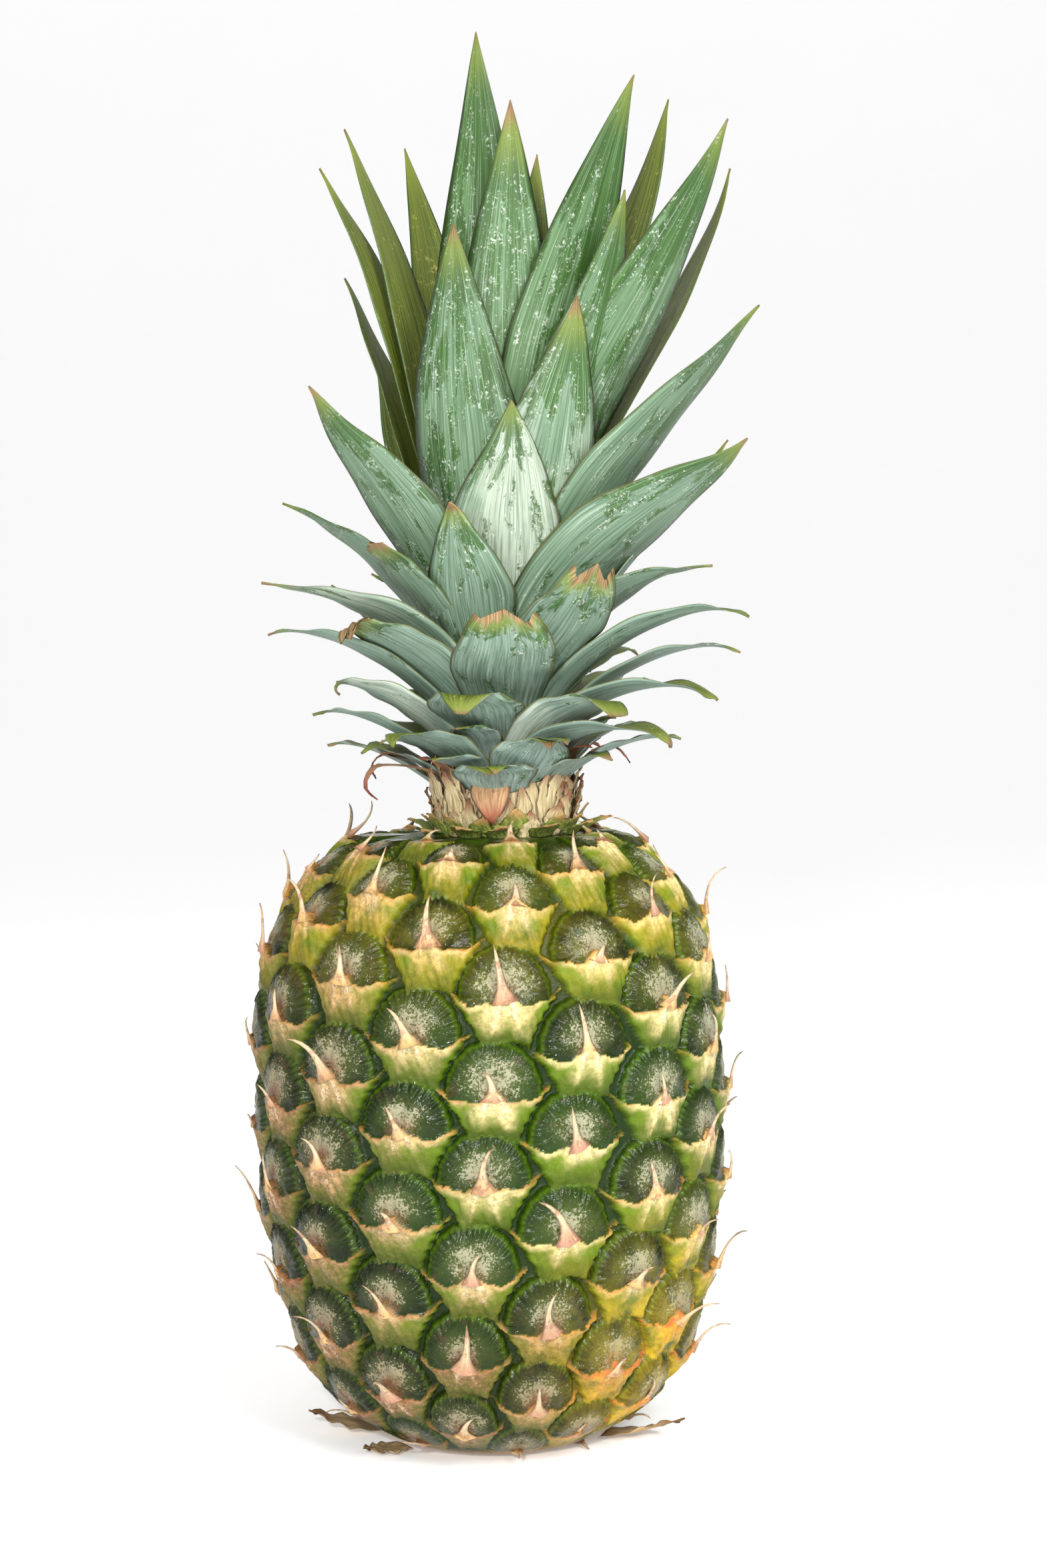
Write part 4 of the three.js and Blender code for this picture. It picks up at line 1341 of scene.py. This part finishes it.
def build_floor():
    """A pale floor that curves up into a backdrop far behind."""
    profile = [(-6.0, 0.0), (BACKDROP_START, 0.0)]
    for k in range(1, 13):
        turn = math.radians(90 * k / 12)
        forward = BACKDROP_START + BACKDROP_RADIUS * math.sin(turn)
        profile.append((forward, BACKDROP_RADIUS - BACKDROP_RADIUS * math.cos(turn)))
    profile.append((BACKDROP_START + BACKDROP_RADIUS, 6.0))
    points = [(x, y, z) for y, z in profile for x in (-8.0, 8.0)]
    faces = [(2 * i, 2 * i + 1, 2 * i + 3, 2 * i + 2) for i in range(len(profile) - 1)]
    floor = make_object("floor", np.array(points) / MM, faces, floor_material())


# ---------------------------------------------------------------- settings, operators and panel


class PineappleStage(bpy.types.PropertyGroup):
    lens: bpy.props.FloatProperty(
        name="Lens",
        description="Focal length of the camera",
        default=62.0,
        unit="CAMERA",
    )
    key_power: bpy.props.FloatProperty(
        name="Key light",
        description="Power of the large soft light over the front",
        default=17.2,
        unit="POWER",
    )
    room_light: bpy.props.FloatProperty(
        name="Room light",
        description="Strength of the even light from all sides",
        default=0.64,
    )


def colour_setting(name, description, shade):
    return bpy.props.FloatVectorProperty(
        name=name,
        description=description,
        default=colour(shade)[:3],
        size=3,
        min=0.0,
        max=1.0,
        subtype="COLOR",
    )


class PineappleFruit(bpy.types.PropertyGroup):
    spine_length: bpy.props.FloatProperty(
        name="Spine length",
        description="How long the dry spines are, as a share of their usual length",
        default=1.0,
        subtype="FACTOR",
    )
    spine_width: bpy.props.FloatProperty(
        name="Spine width",
        description="How broad the dry spines are, as a share of their usual width",
        default=1.0,
        subtype="FACTOR",
    )
    leaf_thickness: bpy.props.FloatProperty(
        name="Leaf thickness",
        description="Thickness of a crown leaf at its root",
        default=1.2 * MM,
        unit="LENGTH",
    )
    dome_green: colour_setting("Dome", "Glossy skin of the upper part of each eye", "#1f3004")
    bract_green: colour_setting("Bract", "Green of the lower part of each eye", "#5f780a")
    bract_cream: colour_setting("Bract centre", "Pale mealy patch under each spine", "#ecd898")
    ripe_yellow: colour_setting("Ripe yellow", "Where the rind is turning", "#d8bd22")
    spine_cream: colour_setting("Spine", "Dry spines on the eyes", "#dcc49c")
    leaf_green: colour_setting("Leaf", "Crown leaves where the bloom is rubbed off", "#2c4f12")
    upper_bloom: colour_setting("Upper bloom", "Waxy bloom on the upper crown leaves", "#5d7d52")
    lower_bloom: colour_setting("Lower bloom", "Waxy bloom on the lower crown leaves", "#8ba098")


class PINEAPPLE_OT_rind(bpy.types.Operator):
    """Build the rind with all its eyes"""

    bl_idname = "pineapple.rind"
    bl_label = "Rind"

    def execute(self, context):
        finish_piece(build_rind(context.scene.pineapple_fruit), "rind", "fruit")
        return {"FINISHED"}


class PINEAPPLE_OT_spines(bpy.types.Operator):
    """Build the dry spines on the eyes"""

    bl_idname = "pineapple.spines"
    bl_label = "Spines"

    def execute(self, context):
        finish_piece(build_spines(context.scene.pineapple_fruit), "rind")
        return {"FINISHED"}


class PINEAPPLE_OT_stem(bpy.types.Operator):
    """Build the crown stem, the dry scales and bracts round the neck and the dead leaflets"""

    bl_idname = "pineapple.stem"
    bl_label = "Stem and neck scales"

    def execute(self, context):
        finish_piece(build_stem(), "stem", "crown_stem")
        finish_piece(build_neck_scales(), "stem")
        finish_piece(build_collar(), "stem")
        finish_piece(build_dry_leaflets(), "dry_leaf")
        return {"FINISHED"}


class PINEAPPLE_OT_crown(bpy.types.Operator):
    """Build the crown leaves"""

    bl_idname = "pineapple.crown"
    bl_label = "Crown leaves"

    def execute(self, context):
        if len(LEAF_NODES) != len(LEAVES):
            raise RuntimeError("the frame and the list of leaves don't agree")
        build_crown_leaves(context.scene.pineapple_fruit)
        finish_piece(build_small_leaves(context.scene.pineapple_fruit), "green_leaf")
        return {"FINISHED"}


class PINEAPPLE_OT_base_leaves(bpy.types.Operator):
    """Build the dry leaves under the fruit"""

    bl_idname = "pineapple.base_leaves"
    bl_label = "Dry base leaves"

    def execute(self, context):
        build_basal_leaves()
        return {"FINISHED"}


class PINEAPPLE_OT_stage(bpy.types.Operator):
    """Set up the floor, lights and camera"""

    bl_idname = "pineapple.stage"
    bl_label = "Stage"

    def execute(self, context):
        settings = context.scene.pineapple_stage
        build_floor()
        build_camera(settings)
        for name, place, size, share in LIGHTS:
            area_light(name, place, LIGHTS_AIM, size, settings.key_power * share)
        world = bpy.data.worlds.new("room")
        world.use_nodes = True
        background = world.node_tree.nodes["Background"]
        background.inputs["Color"].default_value = (1, 1, 1, 1)
        background.inputs["Strength"].default_value = settings.room_light
        context.scene.world = world
        context.scene.view_settings.view_transform = "Standard"
        return {"FINISHED"}


class PINEAPPLE_PT_panel(bpy.types.Panel):
    """Lists the parts of the pineapple and their settings"""

    bl_label = "Pineapple"
    bl_idname = "PINEAPPLE_PT_panel"
    bl_space_type = "VIEW_3D"
    bl_region_type = "UI"
    bl_category = "Pineapple"

    def draw(self, context):
        layout = self.layout
        for key in PineappleFruit.__annotations__:
            layout.prop(context.scene.pineapple_fruit, key)
        for key in PineappleStage.__annotations__:
            layout.prop(context.scene.pineapple_stage, key)
        for name in STEPS:
            layout.operator(f"pineapple.{name}")


STEPS = ("rind", "spines", "stem", "crown", "base_leaves", "stage")
CLASSES = (
    PineappleStage,
    PineappleFruit,
    PINEAPPLE_OT_rind,
    PINEAPPLE_OT_spines,
    PINEAPPLE_OT_stem,
    PINEAPPLE_OT_crown,
    PINEAPPLE_OT_base_leaves,
    PINEAPPLE_OT_stage,
    PINEAPPLE_PT_panel,
)


def register():
    for cls in CLASSES:
        bpy.utils.register_class(cls)
    bpy.types.Scene.pineapple_stage = bpy.props.PointerProperty(type=PineappleStage)
    bpy.types.Scene.pineapple_fruit = bpy.props.PointerProperty(type=PineappleFruit)


def unregister():
    del bpy.types.Scene.pineapple_fruit
    del bpy.types.Scene.pineapple_stage
    for cls in reversed(CLASSES):
        bpy.utils.unregister_class(cls)


def main():
    register()
    for name in STEPS:
        getattr(bpy.ops.pineapple, name)()


if __name__ == "__main__":
    main()
